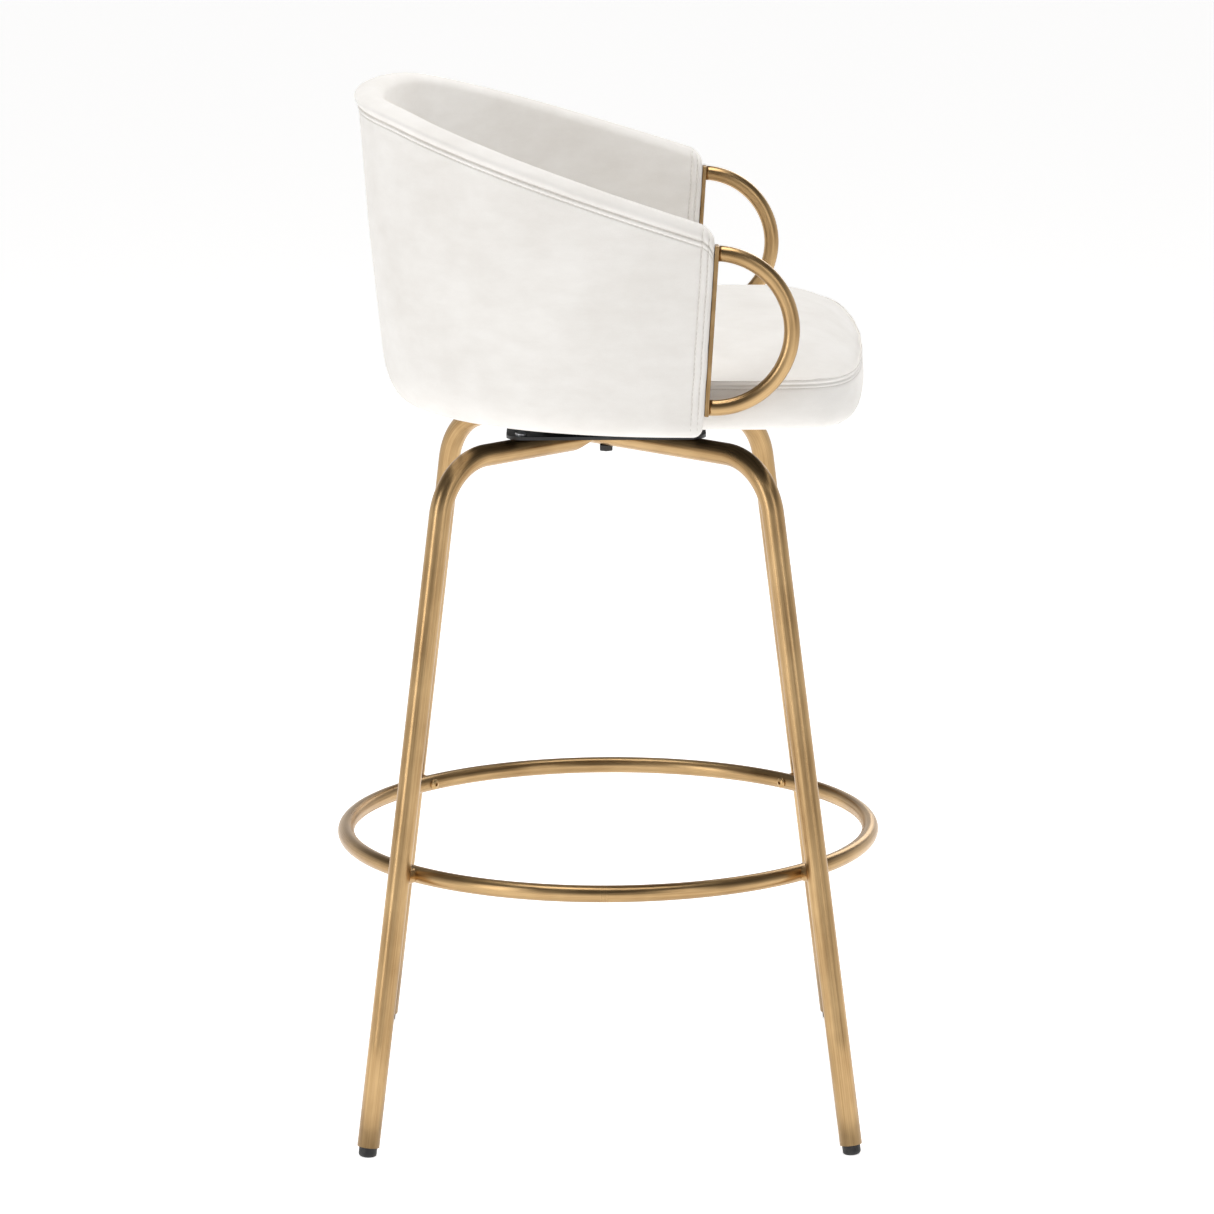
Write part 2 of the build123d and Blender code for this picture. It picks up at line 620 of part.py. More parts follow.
# ---- arm handles ----
for side, name in ((-1, "right"), (1, "left")):
    face = handle_plane(side)
    with BuildPart() as handle_strip:
        with BuildSketch(face):
            RectangleRounded(STRIP_WIDTH, 2 * (HANDLE_RADIUS + HANDLE_TUBE_RADIUS), STRIP_CORNER)
        extrude(amount=-STRIP_THICKNESS)
        add(strip_screws.part, mode=Mode.SUBTRACT)
    save(handle_strip, f"handle_strip_{name}")

    with BuildPart() as handle_tube:
        with BuildLine(Plane(origin=face.origin, x_dir=face.z_dir, z_dir=(-1, 0, 0))) as path:
            CenterArc((0, 0), HANDLE_RADIUS, -90, 180)
        with BuildSketch(Plane(origin=path.line @ 0, z_dir=path.line % 0)):
            Circle(HANDLE_TUBE_RADIUS)
            Circle(HANDLE_TUBE_RADIUS - HANDLE_TUBE_WALL, mode=Mode.SUBTRACT)
        sweep(path=path.line)
    save(handle_tube, f"handle_tube_{name}")
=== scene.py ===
from math import atan, cos, exp, hypot, pi, radians, sin, sqrt, tan

import bmesh
import bpy
import numpy as np
from mathutils import Matrix, Vector, noise


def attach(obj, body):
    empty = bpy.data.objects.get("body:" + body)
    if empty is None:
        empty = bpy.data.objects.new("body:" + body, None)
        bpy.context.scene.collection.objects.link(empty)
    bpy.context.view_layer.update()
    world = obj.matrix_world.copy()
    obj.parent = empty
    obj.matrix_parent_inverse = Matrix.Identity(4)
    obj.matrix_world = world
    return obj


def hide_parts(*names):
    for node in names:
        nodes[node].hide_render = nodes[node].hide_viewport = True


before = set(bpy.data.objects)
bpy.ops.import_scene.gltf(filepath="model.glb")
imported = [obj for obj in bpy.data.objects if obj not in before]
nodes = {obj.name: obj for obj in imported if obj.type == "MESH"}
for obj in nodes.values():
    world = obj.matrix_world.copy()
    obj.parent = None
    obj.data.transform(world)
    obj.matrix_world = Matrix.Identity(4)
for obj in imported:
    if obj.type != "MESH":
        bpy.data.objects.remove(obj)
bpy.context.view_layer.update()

# ---- Studio ----
# A wide pale floor and a pale room with a darker ceiling, which the metal reflects, lit by
# large soft lights: one each side, one overhead and one behind.
FLOOR_SIZE = 90
FLOOR_COLOUR = (0.90, 0.90, 0.90, 1)
FLOOR_GLOW = 0.86
ROOM_BRIGHT = (1.0, 1.0, 1.0, 1)
ROOM_DIM = (0.16, 0.155, 0.15, 1)
ROOM_STRENGTH = 1.0
ROOM_NEAR_SHARE = 0.42     # how bright the room is on the camera's side, which metal mirrors
ROOM_SIDE_FADE = (-0.5, 0.2)
ROOM_HEIGHT_FADE = (0.18, 0.50)
CAMERA_PLACE = (-4.933, 0.0, 1.5123)
CAMERA_PITCH = 0.2068
CAMERA_ROLL = -0.0049
CAMERA_LENS = 155.33

scene = bpy.context.scene
bpy.ops.object.select_all(action="DESELECT")
bpy.ops.mesh.primitive_plane_add(size=FLOOR_SIZE, location=(0, 0, 0))
floor = bpy.context.object
floor.name = "floor"
floor_paint = bpy.data.materials.new("floor_paint")
floor_paint.use_nodes = True
floor_shader = floor_paint.node_tree.nodes["Principled BSDF"]
floor_shader.inputs["Base Color"].default_value = FLOOR_COLOUR
floor_shader.inputs["Roughness"].default_value = 0.9
floor_shader.inputs["Emission Color"].default_value = FLOOR_COLOUR
floor_shader.inputs["Emission Strength"].default_value = FLOOR_GLOW
floor.data.materials.append(floor_paint)

room = bpy.data.worlds.new("room")
scene.world = room
room.use_nodes = True
sky = room.node_tree
sky_place = sky.nodes.new("ShaderNodeTexCoord")
sky_axes = sky.nodes.new("ShaderNodeSeparateXYZ")
sky_tone = sky.nodes.new("ShaderNodeValToRGB")
sky.links.new(sky_place.outputs["Generated"], sky_axes.inputs[0])
sky.links.new(sky_axes.outputs["Z"], sky_tone.inputs["Fac"])
sky_side = sky.nodes.new("ShaderNodeMapRange")
sky_side.inputs["From Min"].default_value = ROOM_SIDE_FADE[0]
sky_side.inputs["From Max"].default_value = ROOM_SIDE_FADE[1]
sky_side.inputs["To Min"].default_value = ROOM_NEAR_SHARE
sky_side.inputs["To Max"].default_value = ROOM_STRENGTH
sky.links.new(sky_axes.outputs["X"], sky_side.inputs["Value"])
sky.links.new(sky_side.outputs["Result"], sky.nodes["Background"].inputs["Strength"])
sky.links.new(sky_tone.outputs["Color"], sky.nodes["Background"].inputs["Color"])
sky_tone.color_ramp.elements[0].position = ROOM_HEIGHT_FADE[0]
sky_tone.color_ramp.elements[0].color = ROOM_BRIGHT
sky_tone.color_ramp.elements[1].position = ROOM_HEIGHT_FADE[1]
sky_tone.color_ramp.elements[1].color = ROOM_DIM
scene.view_settings.view_transform = "Standard"

STUDIO_LIGHTS = (
    # name, place, aimed at, width, height, watts
    ("key_light", (-3.2, -2.0, 1.7), (0, 0, 0.6), 0.9, 2.6, 15),
    ("side_light", (-2.4, 2.6, 1.5), (0, 0, 0.6), 0.8, 2.6, 27),
    ("top_light", (0.0, 0.0, 3.2), (0, 0, 0.5), 1.8, 1.8, 56),
    ("rear_light", (3.0, -1.2, 2.2), (0, 0, 0.7), 1.2, 2.0, 20),
)
for name, place, target, width, height, watts in STUDIO_LIGHTS:
    bpy.ops.object.select_all(action="DESELECT")
    bpy.ops.object.light_add(type="AREA", location=place)
    light = bpy.context.object
    light.name = name
    light.data.shape = "RECTANGLE"
    light.data.size = width
    light.data.size_y = height
    light.data.energy = watts
    light.rotation_euler = (Vector(target) - Vector(place)).to_track_quat("-Z", "Y").to_euler()

bpy.ops.object.camera_add(location=CAMERA_PLACE)
camera = bpy.context.object
ahead = Vector((cos(CAMERA_PITCH), 0, -sin(CAMERA_PITCH)))
across = Vector((0, -1, 0))
upright = across.cross(ahead)
rolled_across = across * cos(CAMERA_ROLL) + upright * sin(CAMERA_ROLL)
rolled_upright = upright * cos(CAMERA_ROLL) - across * sin(CAMERA_ROLL)
turn = Matrix((rolled_across, rolled_upright, -ahead)).transposed()
camera.rotation_euler = turn.to_euler()
camera.data.lens = CAMERA_LENS
scene.camera = camera

# ---- Leg loops ----
# Two bent steel tubes in brushed brass plate, one on each diagonal. Each is pressed flat on
# one side where they cross under the seat, so the second passes under the first.
TUBE_SIDES = 48
LEG_TUBE = 0.0105
LEG_WALL = 0.0015
LEG_BEND = 0.060
LEG_TOP_Z = 0.6465
LEG_SPREAD = 0.3217
LEG_SLOPE = 0.1726
LEG_END_GAP = 0.009
PRESS_LENGTH = 0.046
PRESS_WIDENING = 0.16
LEG_STEPS = 6
LEG_BEND_STEPS = 26
PRESS_STEPS = 24
LEG_LEAN = atan(LEG_SLOPE)


class Wire:
    """A socket in a material's nodes. Sums on wires add Math nodes."""

    def __init__(self, tree, socket=None):
        self.tree = tree
        self.socket = socket

    def node(self, kind, settings=None, sockets=None, output=0):
        """Adds a node: its settings first, then its sockets' values or links."""
        made = self.tree.nodes.new(kind)
        for name, value in (settings or {}).items():
            if name == "stops":
                while len(made.color_ramp.elements) < len(value):
                    made.color_ramp.elements.new(0.5)
                for element, (place, colour) in zip(made.color_ramp.elements, value):
                    element.position = place
                    element.color = colour
            else:
                setattr(made, name, value)
        for name, value in (sockets or {}).items():
            if isinstance(value, Wire):
                self.tree.links.new(value.socket, made.inputs[name])
            else:
                made.inputs[name].default_value = value
        return Wire(self.tree, made.outputs[output])

    def sum(self, operation, first, second=0.0):
        return self.node("ShaderNodeMath", {"operation": operation}, {0: first, 1: second})

    def __add__(self, other):
        return self.sum("ADD", self, other)

    def __radd__(self, other):
        return self.sum("ADD", other, self)

    def __mul__(self, other):
        return self.sum("MULTIPLY", self, other)

    def __rmul__(self, other):
        return self.sum("MULTIPLY", other, self)

    def place(self, attribute=None):
        """Where a point is: on the object, or along the attribute that follows its surface."""
        if attribute:
            return self.node("ShaderNodeAttribute", {"attribute_name": attribute}, output=1)
        return self.node("ShaderNodeTexCoord", output=3)

    def stretched(self, scale):
        """The same pattern space, scaled differently along each axis."""
        return self.node("ShaderNodeMapping", sockets={"Vector": self, "Scale": scale})

    def noise(self, scale, detail=3.0, roughness=0.5):
        """Soft noise about 0.5 in this pattern space."""
        return self.node("ShaderNodeTexNoise",
                         sockets={"Vector": self, "Scale": scale, "Detail": detail,
                                  "Roughness": roughness})

    def ramp(self, *stops):
        """Maps a value through colour stops of (place, grey or colour)."""
        full = [(place, tone if isinstance(tone, tuple) else (tone, tone, tone, 1))
                for place, tone in stops]
        return self.node("ShaderNodeValToRGB", {"stops": full}, {"Fac": self})

    def mix(self, first, second):
        """A colour between two, by this factor."""
        return self.node("ShaderNodeMix", {"data_type": "RGBA"},
                         {0: self, 6: first, 7: second}, output=2)

    def bump(self, distance, strength=1.0, under=None):
        """A surface normal raised by this height."""
        sockets = {"Height": self, "Distance": distance, "Strength": strength}
        if under:
            sockets["Normal"] = under
        return self.node("ShaderNodeBump", sockets=sockets)


def new_finish(name, **fixed):
    """A material with its fixed shader values set, and a wire to build its pattern with."""
    material = bpy.data.materials.new(name)
    material.use_nodes = True
    shader = material.node_tree.nodes["Principled BSDF"]
    for socket, value in fixed.items():
        shader.inputs[socket.replace("_", " ")].default_value = value
    return material, Wire(material.node_tree)


def join_up(material, **wires):
    """Links pattern wires to a material's shader."""
    shader = material.node_tree.nodes["Principled BSDF"]
    for socket, wire in wires.items():
        material.node_tree.links.new(wire.socket, shader.inputs[socket.replace("_", " ")])


def brushed_brass(name, attribute, dark=(0.28, 0.165, 0.070, 1), light=(0.60, 0.41, 0.205, 1)):
    """Satin brass plate with brush lines that run along the grain attribute's Z axis."""
    material, wire = new_finish(name, Metallic=1.0)
    grain = wire.place(attribute)
    lines = grain.stretched((900, 900, 9)).noise(1.0, 4.0, 0.6)
    fine = grain.stretched((2600, 2600, 30)).noise(1.0, 2.0, 0.6)
    cloud = grain.stretched((30, 30, 14)).noise(1.0, 3.0, 0.55)
    tone = lines * 0.5 + cloud * 0.5
    colour = tone.ramp((0.30, 0.0), (0.70, 1.0)).mix(dark, light)
    roughness = 0.17 + lines * 0.12 + cloud * 0.10 + fine * 0.05
    normal = fine.bump(0.00008, 0.35, under=lines.bump(0.00020, 0.35))
    join_up(material, Base_Color=colour, Roughness=roughness, Normal=normal)
    return material


brass_along_tube = brushed_brass("brass_along_tube", "grain")


def write_grain(piece, station):
    """Stores, for each point, its place round and along the brushed metal."""
    grain = piece.data.attributes.new("grain", "FLOAT_VECTOR", "POINT")
    for vertex in piece.data.vertices:
        grain.data[vertex.index].vector = station(vertex.co)


def finish_mesh(piece, name, angle=40):
    """Places a piece's shape in its mesh, closes doubles and smooths its round faces."""
    piece.name = name
    piece.data.name = name
    bpy.ops.object.select_all(action="DESELECT")
    piece.select_set(True)
    bpy.context.view_layer.objects.active = piece
    bpy.ops.object.transform_apply(location=True, rotation=True, scale=True)
    bpy.ops.object.mode_set(mode="EDIT")
    bpy.ops.mesh.select_all(action="SELECT")
    bpy.ops.mesh.remove_doubles(threshold=0.000005)
    bpy.ops.mesh.normals_make_consistent(inside=False)
    bpy.ops.object.mode_set(mode="OBJECT")
    bpy.ops.object.shade_smooth_by_angle(angle=radians(angle))


def apply_modifier(piece, kind, **settings):
    """Adds a modifier, sets it up and applies it."""
    modifier = piece.modifiers.new(kind.lower(), kind)
    for name, value in settings.items():
        setattr(modifier, name, value)
    bpy.ops.object.select_all(action="DESELECT")
    piece.select_set(True)
    bpy.context.view_layer.objects.active = piece
    bpy.ops.object.modifier_apply(modifier=modifier.name)


def push_ring(offset):
    """Extrudes the selected ring by an offset."""
    bpy.ops.mesh.extrude_region_move(TRANSFORM_OT_translate={"value": offset})


def bend_ring(angle, centre, axis, steps):
    """Sweeps the selected ring round a centre, right-handed about the axis."""
    bpy.ops.mesh.spin(steps=steps, angle=-angle, center=centre, axis=axis)


leg_top_s = LEG_SPREAD - LEG_SLOPE * LEG_TOP_Z
bend_turn = pi / 2 - LEG_LEAN
bend_reach = LEG_BEND * tan(bend_turn / 2)
bend_s = leg_top_s - bend_reach
leg_down = Vector((sin(LEG_LEAN), 0, -cos(LEG_LEAN)))
leg_end = Vector((LEG_SPREAD, 0, 0)) - leg_down * LEG_END_GAP
leg_bend_start = Vector((leg_top_s, 0, LEG_TOP_Z)) + leg_down * bend_reach
leg_run = leg_bend_start - leg_end


def leg_station(point, outward):
    """Distance along a leg loop, and place round its tube, of a point on its surface."""
    s = point.dot(outward)
    off_plane = point.dot(outward.cross(Vector((0, 0, 1))))
    side = 1 if s >= 0 else -1
    reach = abs(s)
    from_centre = Vector((reach - bend_s, point.z - (LEG_TOP_Z - LEG_BEND)))
    if reach <= bend_s:
        along, rise = reach, point.z - LEG_TOP_Z
    else:
        turned = min(pi / 2 - np.arctan2(from_centre.y, from_centre.x), bend_turn)
        radial = Vector((sin(turned), cos(turned)))
        tangent = Vector((cos(turned), -sin(turned)))
        along = bend_s + LEG_BEND * turned + max(from_centre.dot(tangent), 0)
        rise = from_centre.dot(radial) - LEG_BEND
    return off_plane, rise, side * along


for name, azimuth, pressed in (("leg_tube_upper", 135, -1), ("leg_tube_lower", 45, 1)):
    outward = Vector((cos(radians(azimuth)), sin(radians(azimuth)), 0))
    turned = Matrix.Rotation(radians(azimuth), 3, "Z")
    bpy.ops.object.select_all(action="DESELECT")
    bpy.ops.mesh.primitive_circle_add(vertices=TUBE_SIDES, radius=LEG_TUBE, location=leg_end,
                                      rotation=(0, -LEG_LEAN, 0))
    leg_tube = bpy.context.object
    bpy.ops.object.mode_set(mode="EDIT")
    for _ in range(LEG_STEPS):
        push_ring(leg_run / LEG_STEPS)
    bend_ring(-bend_turn, (bend_s, 0, LEG_TOP_Z - LEG_BEND), (0, 1, 0), LEG_BEND_STEPS)
    push_ring((PRESS_LENGTH - bend_s, 0, 0))
    for _ in range(PRESS_STEPS):
        push_ring((-2 * PRESS_LENGTH / PRESS_STEPS, 0, 0))
    push_ring((PRESS_LENGTH - bend_s, 0, 0))
    bend_ring(-bend_turn, (-bend_s, 0, LEG_TOP_Z - LEG_BEND), (0, 1, 0), LEG_BEND_STEPS)
    for _ in range(LEG_STEPS):
        push_ring((leg_run.x / LEG_STEPS, 0, -leg_run.z / LEG_STEPS))
    bpy.ops.object.mode_set(mode="OBJECT")
    finish_mesh(leg_tube, name)
    for vertex in leg_tube.data.vertices:
        closeness = max(0.0, 1 - (abs(vertex.co.x) / PRESS_LENGTH) ** 2) ** 2
        if closeness:
            rise = vertex.co.z - LEG_TOP_Z
            if rise * pressed > 0:
                vertex.co.z = LEG_TOP_Z + rise * (1 - 0.97 * min(1, closeness * 1.6))
            vertex.co.y *= 1 + PRESS_WIDENING * closeness
    apply_modifier(leg_tube, "SOLIDIFY", thickness=LEG_WALL, offset=-1)
    leg_tube.data.transform(turned.to_4x4())
    write_grain(leg_tube, lambda point: leg_station(point, outward))
    leg_tube.data.materials.append(brass_along_tube)
    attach(leg_tube, "base")
    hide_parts(name.replace("tube", "loop"))

# ---- Footrest ring ----
# A steel tube rolled into a hoop inside the legs and welded closed, in the same brass plate.
RING_RADIUS = 0.254
RING_Z = 0.260
RING_TUBE = 0.008
RING_SIDES = 32
RING_STEPS = 216

bpy.ops.object.select_all(action="DESELECT")
bpy.ops.mesh.primitive_circle_add(vertices=RING_SIDES, radius=RING_TUBE,
                                  location=(RING_RADIUS, 0, RING_Z), rotation=(pi / 2, 0, 0))
ring_tube = bpy.context.object
bpy.ops.object.mode_set(mode="EDIT")
bend_ring(2 * pi, (0, 0, RING_Z), (0, 0, 1), RING_STEPS)
bpy.ops.object.mode_set(mode="OBJECT")
finish_mesh(ring_tube, "footrest_hoop")
write_grain(ring_tube, lambda point: (hypot(point.x, point.y) - RING_RADIUS, point.z - RING_Z,
                                      RING_RADIUS * np.arctan2(point.y, point.x)))
ring_tube.data.materials.append(brass_along_tube)
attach(ring_tube, "base")
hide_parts("footrest_ring")

# ---- Spacers and ring screws ----
# Short brass-plated collars hold the ring off the legs. A button-head socket screw goes
# through the ring and each collar into the leg, driven from inside the ring.
HEAD_RADIUS = 0.0050
HEAD_HEIGHT = 0.0030
SOCKET_RADIUS = 0.0019
SOCKET_DEPTH = 0.0018
HEAD_SIDES = 36
HEAD_WALL_SHARE = 0.25      # of the head's height, below its dome
CORNER_AZIMUTHS = (45, 135, 225, 315)


def brushed_block(name, dark, light, base_roughness=0.22, grain_scale=(500, 500, 60)):
    """Plated metal with fine brush marks and faint handling marks, for small parts."""
    material, wire = new_finish(name, Metallic=1.0)
    place = wire.place()
    brush = place.stretched(grain_scale).noise(1.0, 4.0, 0.6)
    cloud = place.noise(60.0, 3.0, 0.5)
    colour = (brush * 0.5 + cloud * 0.5).ramp((0.30, 0.0), (0.70, 1.0)).mix(dark, light)
    roughness = base_roughness + brush * 0.14 + cloud * 0.10
    join_up(material, Base_Color=colour, Roughness=roughness, Normal=brush.bump(0.0001, 0.3))
    return material


brass_block = brushed_block("brass_block", (0.42, 0.26, 0.115, 1), (0.66, 0.445, 0.215, 1))


def repaint(material, *names):
    """Gives CAD nodes a finer material in every slot."""
    for node in names:
        piece = nodes[node]
        if not piece.data.materials:
            piece.data.materials.append(material)
        for index in range(len(piece.data.materials)):
            piece.data.materials[index] = material


repaint(brass_block, "ring_spacers")

bpy.ops.object.select_all(action="DESELECT")
bpy.ops.mesh.primitive_circle_add(vertices=HEAD_SIDES, radius=HEAD_RADIUS, fill_type="NOTHING")
screw_head = bpy.context.object
bpy.ops.object.mode_set(mode="EDIT")
push_ring((0, 0, HEAD_HEIGHT * HEAD_WALL_SHARE))
for step in range(1, 7):
    slope, slope_before = pi / 2 * step / 8, pi / 2 * (step - 1) / 8
    push_ring((0, 0, HEAD_HEIGHT * (1 - HEAD_WALL_SHARE) * (sin(slope) - sin(slope_before))))
    width = cos(slope) / cos(slope_before)
    bpy.ops.transform.resize(value=(width, width, 1))
bpy.ops.object.mode_set(mode="OBJECT")
for vertex in [vertex for vertex in screw_head.data.vertices if vertex.select]:
    around = np.arctan2(vertex.co.y, vertex.co.x)
    flat = cos(pi / 6) / cos((around % (pi / 3)) - pi / 6)
    vertex.co.x = SOCKET_RADIUS * flat * cos(around)
    vertex.co.y = SOCKET_RADIUS * flat * sin(around)
    vertex.co.z = HEAD_HEIGHT
bpy.ops.object.mode_set(mode="EDIT")
push_ring((0, 0, -SOCKET_DEPTH))
bpy.ops.mesh.edge_face_add()
bpy.ops.object.mode_set(mode="OBJECT")

ring_heads = []
for azimuth in CORNER_AZIMUTHS:
    head = screw_head.copy()
    head.data = screw_head.data.copy()
    scene.collection.objects.link(head)
    inwards = Vector((-cos(radians(azimuth)), -sin(radians(azimuth)), 0))
    head.data.transform(inwards.to_track_quat("Z", "Y").to_matrix().to_4x4())
    head.data.transform(Matrix.Translation(Vector((0, 0, RING_Z))
                                           - inwards * (RING_RADIUS - RING_TUBE)))
    ring_heads.append(head)
bpy.data.objects.remove(screw_head)
for head, azimuth in zip(ring_heads, CORNER_AZIMUTHS):
    finish_mesh(head, f"ring_screw_head_{azimuth}", 35)
    head.data.materials.append(brass_block)
    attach(head, "base")
    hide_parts("ring_screws")

# ---- Feet ----
# Moulded black plastic plugs pushed into the tube ends, with a rounded foot.
def moulded_plastic(name, dark, light):
    """Black plastic with a fine moulded grain and scuffs."""
    material, wire = new_finish(name, Specular_IOR_Level=0.4)
    place = wire.place()
    grain = place.noise(2200.0, 2.0, 0.6)
    scuff = place.noise(140.0, 5.0, 0.65).ramp((0.48, 0.0), (0.72, 1.0))
    join_up(material, Base_Color=scuff.mix(dark, light), Roughness=0.42 + scuff * 0.2,
            Normal=grain.bump(0.0001, 0.5))
    return material


black_plastic = moulded_plastic("black_plastic_grain", (0.012, 0.012, 0.013, 1),
                                (0.045, 0.043, 0.042, 1))
repaint(black_plastic, "foot_front_left", "foot_front_right", "foot_rear_left",
        "foot_rear_right")

# ---- Swivel ----
# Two pressed steel plates in black enamel with balls between them, held by a black king
# bolt from under the leg crossing, with its washer and lock nut above.
def black_enamel(name, dark, light, roughness):
    """Black enamel over steel, slightly uneven, with worn specks."""
    material, wire = new_finish(name, Coat_Roughness=0.25)
    place = wire.place()
    peel = place.noise(420.0, 3.0, 0.5)
    dust = place.noise(35.0, 6.0, 0.7).ramp((0.45, 0.0), (0.75, 1.0))
    join_up(material, Base_Color=dust.mix(dark, light), Roughness=roughness + dust * 0.18,
            Normal=peel.bump(0.0002, 0.3))
    return material


black_enamel_steel = black_enamel("black_enamel_steel", (0.010, 0.010, 0.011, 1),
                                  (0.035, 0.034, 0.033, 1), 0.34)
repaint(black_enamel_steel, "swivel_lower_plate", "swivel_upper_plate", "king_bolt")
zinc = brushed_block("zinc_plate", (0.42, 0.43, 0.45, 1), (0.62, 0.63, 0.65, 1),
                     grain_scale=(300, 300, 300))
repaint(zinc, "frame_screws", "seat_screws", "king_nut", "back_screws", "strip_screws")
bright_steel = brushed_block("bright_steel", (0.55, 0.56, 0.58, 1), (0.72, 0.73, 0.75, 1),
                             base_roughness=0.08)
repaint(bright_steel, "swivel_balls")

# ---- Riser, seat board and bent core ----
# The riser is black-stained plywood, the board birch plywood, and the core bent birch
# plies. The upholstery hides nearly all of them.
def plywood(name, dark, light, ply=0.0015):
    """Plies seen on edge as bands of height, with a wood grain across them."""
    material, wire = new_finish(name)
    place = wire.place()
    fibre = place.stretched((6, 160, 500)).noise(1.0, 6.0, 0.65)
    height = wire.node("ShaderNodeSeparateXYZ", sockets={0: place}, output=2)
    plies = (height * (pi / ply)).sum("SINE", height * (pi / ply)) * 0.5 + 0.5
    colour = (fibre * 0.6 + plies * 0.4).ramp((0.25, 0.0), (0.75, 1.0)).mix(dark, light)
    join_up(material, Base_Color=colour, Roughness=0.62 + fibre * 0.2,
            Normal=fibre.bump(0.0003, 0.4))
    return material


repaint(plywood("birch_ply", (0.42, 0.27, 0.14, 1), (0.70, 0.52, 0.33, 1)),
        "seat_board", "back_core")
repaint(plywood("stained_ply", (0.010, 0.009, 0.008, 1), (0.035, 0.030, 0.027, 1)),
        "riser_block")

# ---- Seat cushion ----
# A foam block in ivory velvet: a boxing band round the side and a crowned top panel, joined
# by a seam between two rows of stitches. The cover is turned in under the board.
CUSHION_HALF_WIDTH = 0.275
CUSHION_CENTRE_Y = -0.097
CUSHION_BACK = 0.278
CUSHION_FRONT = 0.127
CUSHION_BOW = 0.020
CUSHION_FRONT_POWER = 7
CUSHION_RING = 176
SEAM_Z = 0.7382
SEAM_SPACING = 0.0036
CROWN = 0.038
CROWN_FULLNESS = 8
CROWN_SIDE_FALL = 0.6
FILL_CAP = 0.006
FILL_FRAMES = 20
TOP_LIFT = 0.0045          # from the seam up to the top panel's edge
TOP_INSETS = (0.0010, 0.0030, 0.0065, 0.0115, 0.0180)
CUSHION_MIDDLE = np.array([0, -0.03])
LEVEL_STEP = 0.001


def velvet(name, attribute=None):
    """Short-pile ivory velvet: cloudy nap, faint brushed streaks and a soft sheen."""
    material, wire = new_finish(name, Sheen_Weight=0.35, Sheen_Roughness=0.45,
                                Sheen_Tint=(1.0, 0.985, 0.96, 1), Specular_IOR_Level=0.25)
    place = wire.place(attribute)
    nap = place.noise(11.0, 4.0, 0.55)
    brushed = place.stretched((26, 26, 70)).noise(1.0, 5.0, 0.6)
    pile = place.noise(1500.0, 2.0, 0.7)
    weave = place.stretched((1400, 1400, 420)).noise(1.0, 2.0, 0.5)
    tone = (nap * 0.45 + brushed * 0.35 + pile * 0.20).ramp((0.30, 0.0), (0.68, 1.0))
    colour = tone.mix((0.735, 0.705, 0.665, 1), (0.860, 0.840, 0.810, 1))
    lay = (nap * 0.5 + brushed * 0.5).bump(0.0012, 0.5)
    join_up(material, Base_Color=colour, Roughness=0.72 + pile * 0.2,
            Normal=(pile * 0.6 + weave * 0.4).bump(0.00022, 0.55, under=lay))
    return material


ivory_velvet = velvet("ivory_velvet_pile")


def tub_curve(half_width, depth, power, steps):
    """Points of a squared-off ellipse round the back, from -X to +X."""
    points = []
    for step in range(steps + 1):
        turn = pi * step / steps
        reach = abs(cos(turn)) ** (2 / power) * (-1 if turn < pi / 2 else 1)
        points.append((half_width * reach, CUSHION_CENTRE_Y + depth * sin(turn) ** (2 / power)))
    return points


def evenly(points, count):
    """Points at equal steps round a closed outline."""
    line = np.array(points + points[:1])
    lengths = np.concatenate(([0], np.cumsum(np.hypot(*np.diff(line, axis=0).T))))
    places = np.linspace(0, lengths[-1], count, endpoint=False)
    return np.stack([np.interp(places, lengths, line[:, axis]) for axis in (0, 1)], 1)


back_curve = tub_curve(CUSHION_HALF_WIDTH, CUSHION_BACK, 2.1, 200)
front_curve = []
for step in range(1, 200):
    turn = pi * step / 200
    reach = abs(cos(turn)) ** (2 / CUSHION_FRONT_POWER) * (1 if turn < pi / 2 else -1)
    x = CUSHION_HALF_WIDTH * reach
    bow = CUSHION_BOW * (1 - reach ** 2)
    forwards = CUSHION_FRONT * sin(turn) ** (2 / CUSHION_FRONT_POWER)
    front_curve.append((x, CUSHION_CENTRE_Y - forwards - bow))
cushion_plan = evenly(back_curve + front_curve, CUSHION_RING)
edge = np.roll(cushion_plan, -1, axis=0) - np.roll(cushion_plan, 1, axis=0)
edge /= np.linalg.norm(edge, axis=1)[:, None]
cushion_normals = np.stack([-edge[:, 1], edge[:, 0]], 1)
cushion_normals *= np.sign(((cushion_plan - CUSHION_MIDDLE) * cushion_normals).sum(1))[:, None]
from_middle = cushion_plan - CUSHION_MIDDLE
plan_turns = np.arctan2(from_middle[:, 1], from_middle[:, 0])
plan_order = np.argsort(plan_turns)
plan_reach = np.hypot(from_middle[:, 0], from_middle[:, 1])


def crown_height(x, y):
    """Height of the top panel before it is filled, from its share of the way to the edge."""
    out = np.array((x, y)) - CUSHION_MIDDLE
    reach = np.interp(np.arctan2(out[1], out[0]), plan_turns[plan_order],
                      plan_reach[plan_order], period=2 * pi)
    rise = 1 - min(1, hypot(*out) / reach) ** CROWN_FULLNESS
    return SEAM_Z + TOP_LIFT + CROWN * rise * (1 - CROWN_SIDE_FALL * (x / CUSHION_HALF_WIDTH) ** 2)


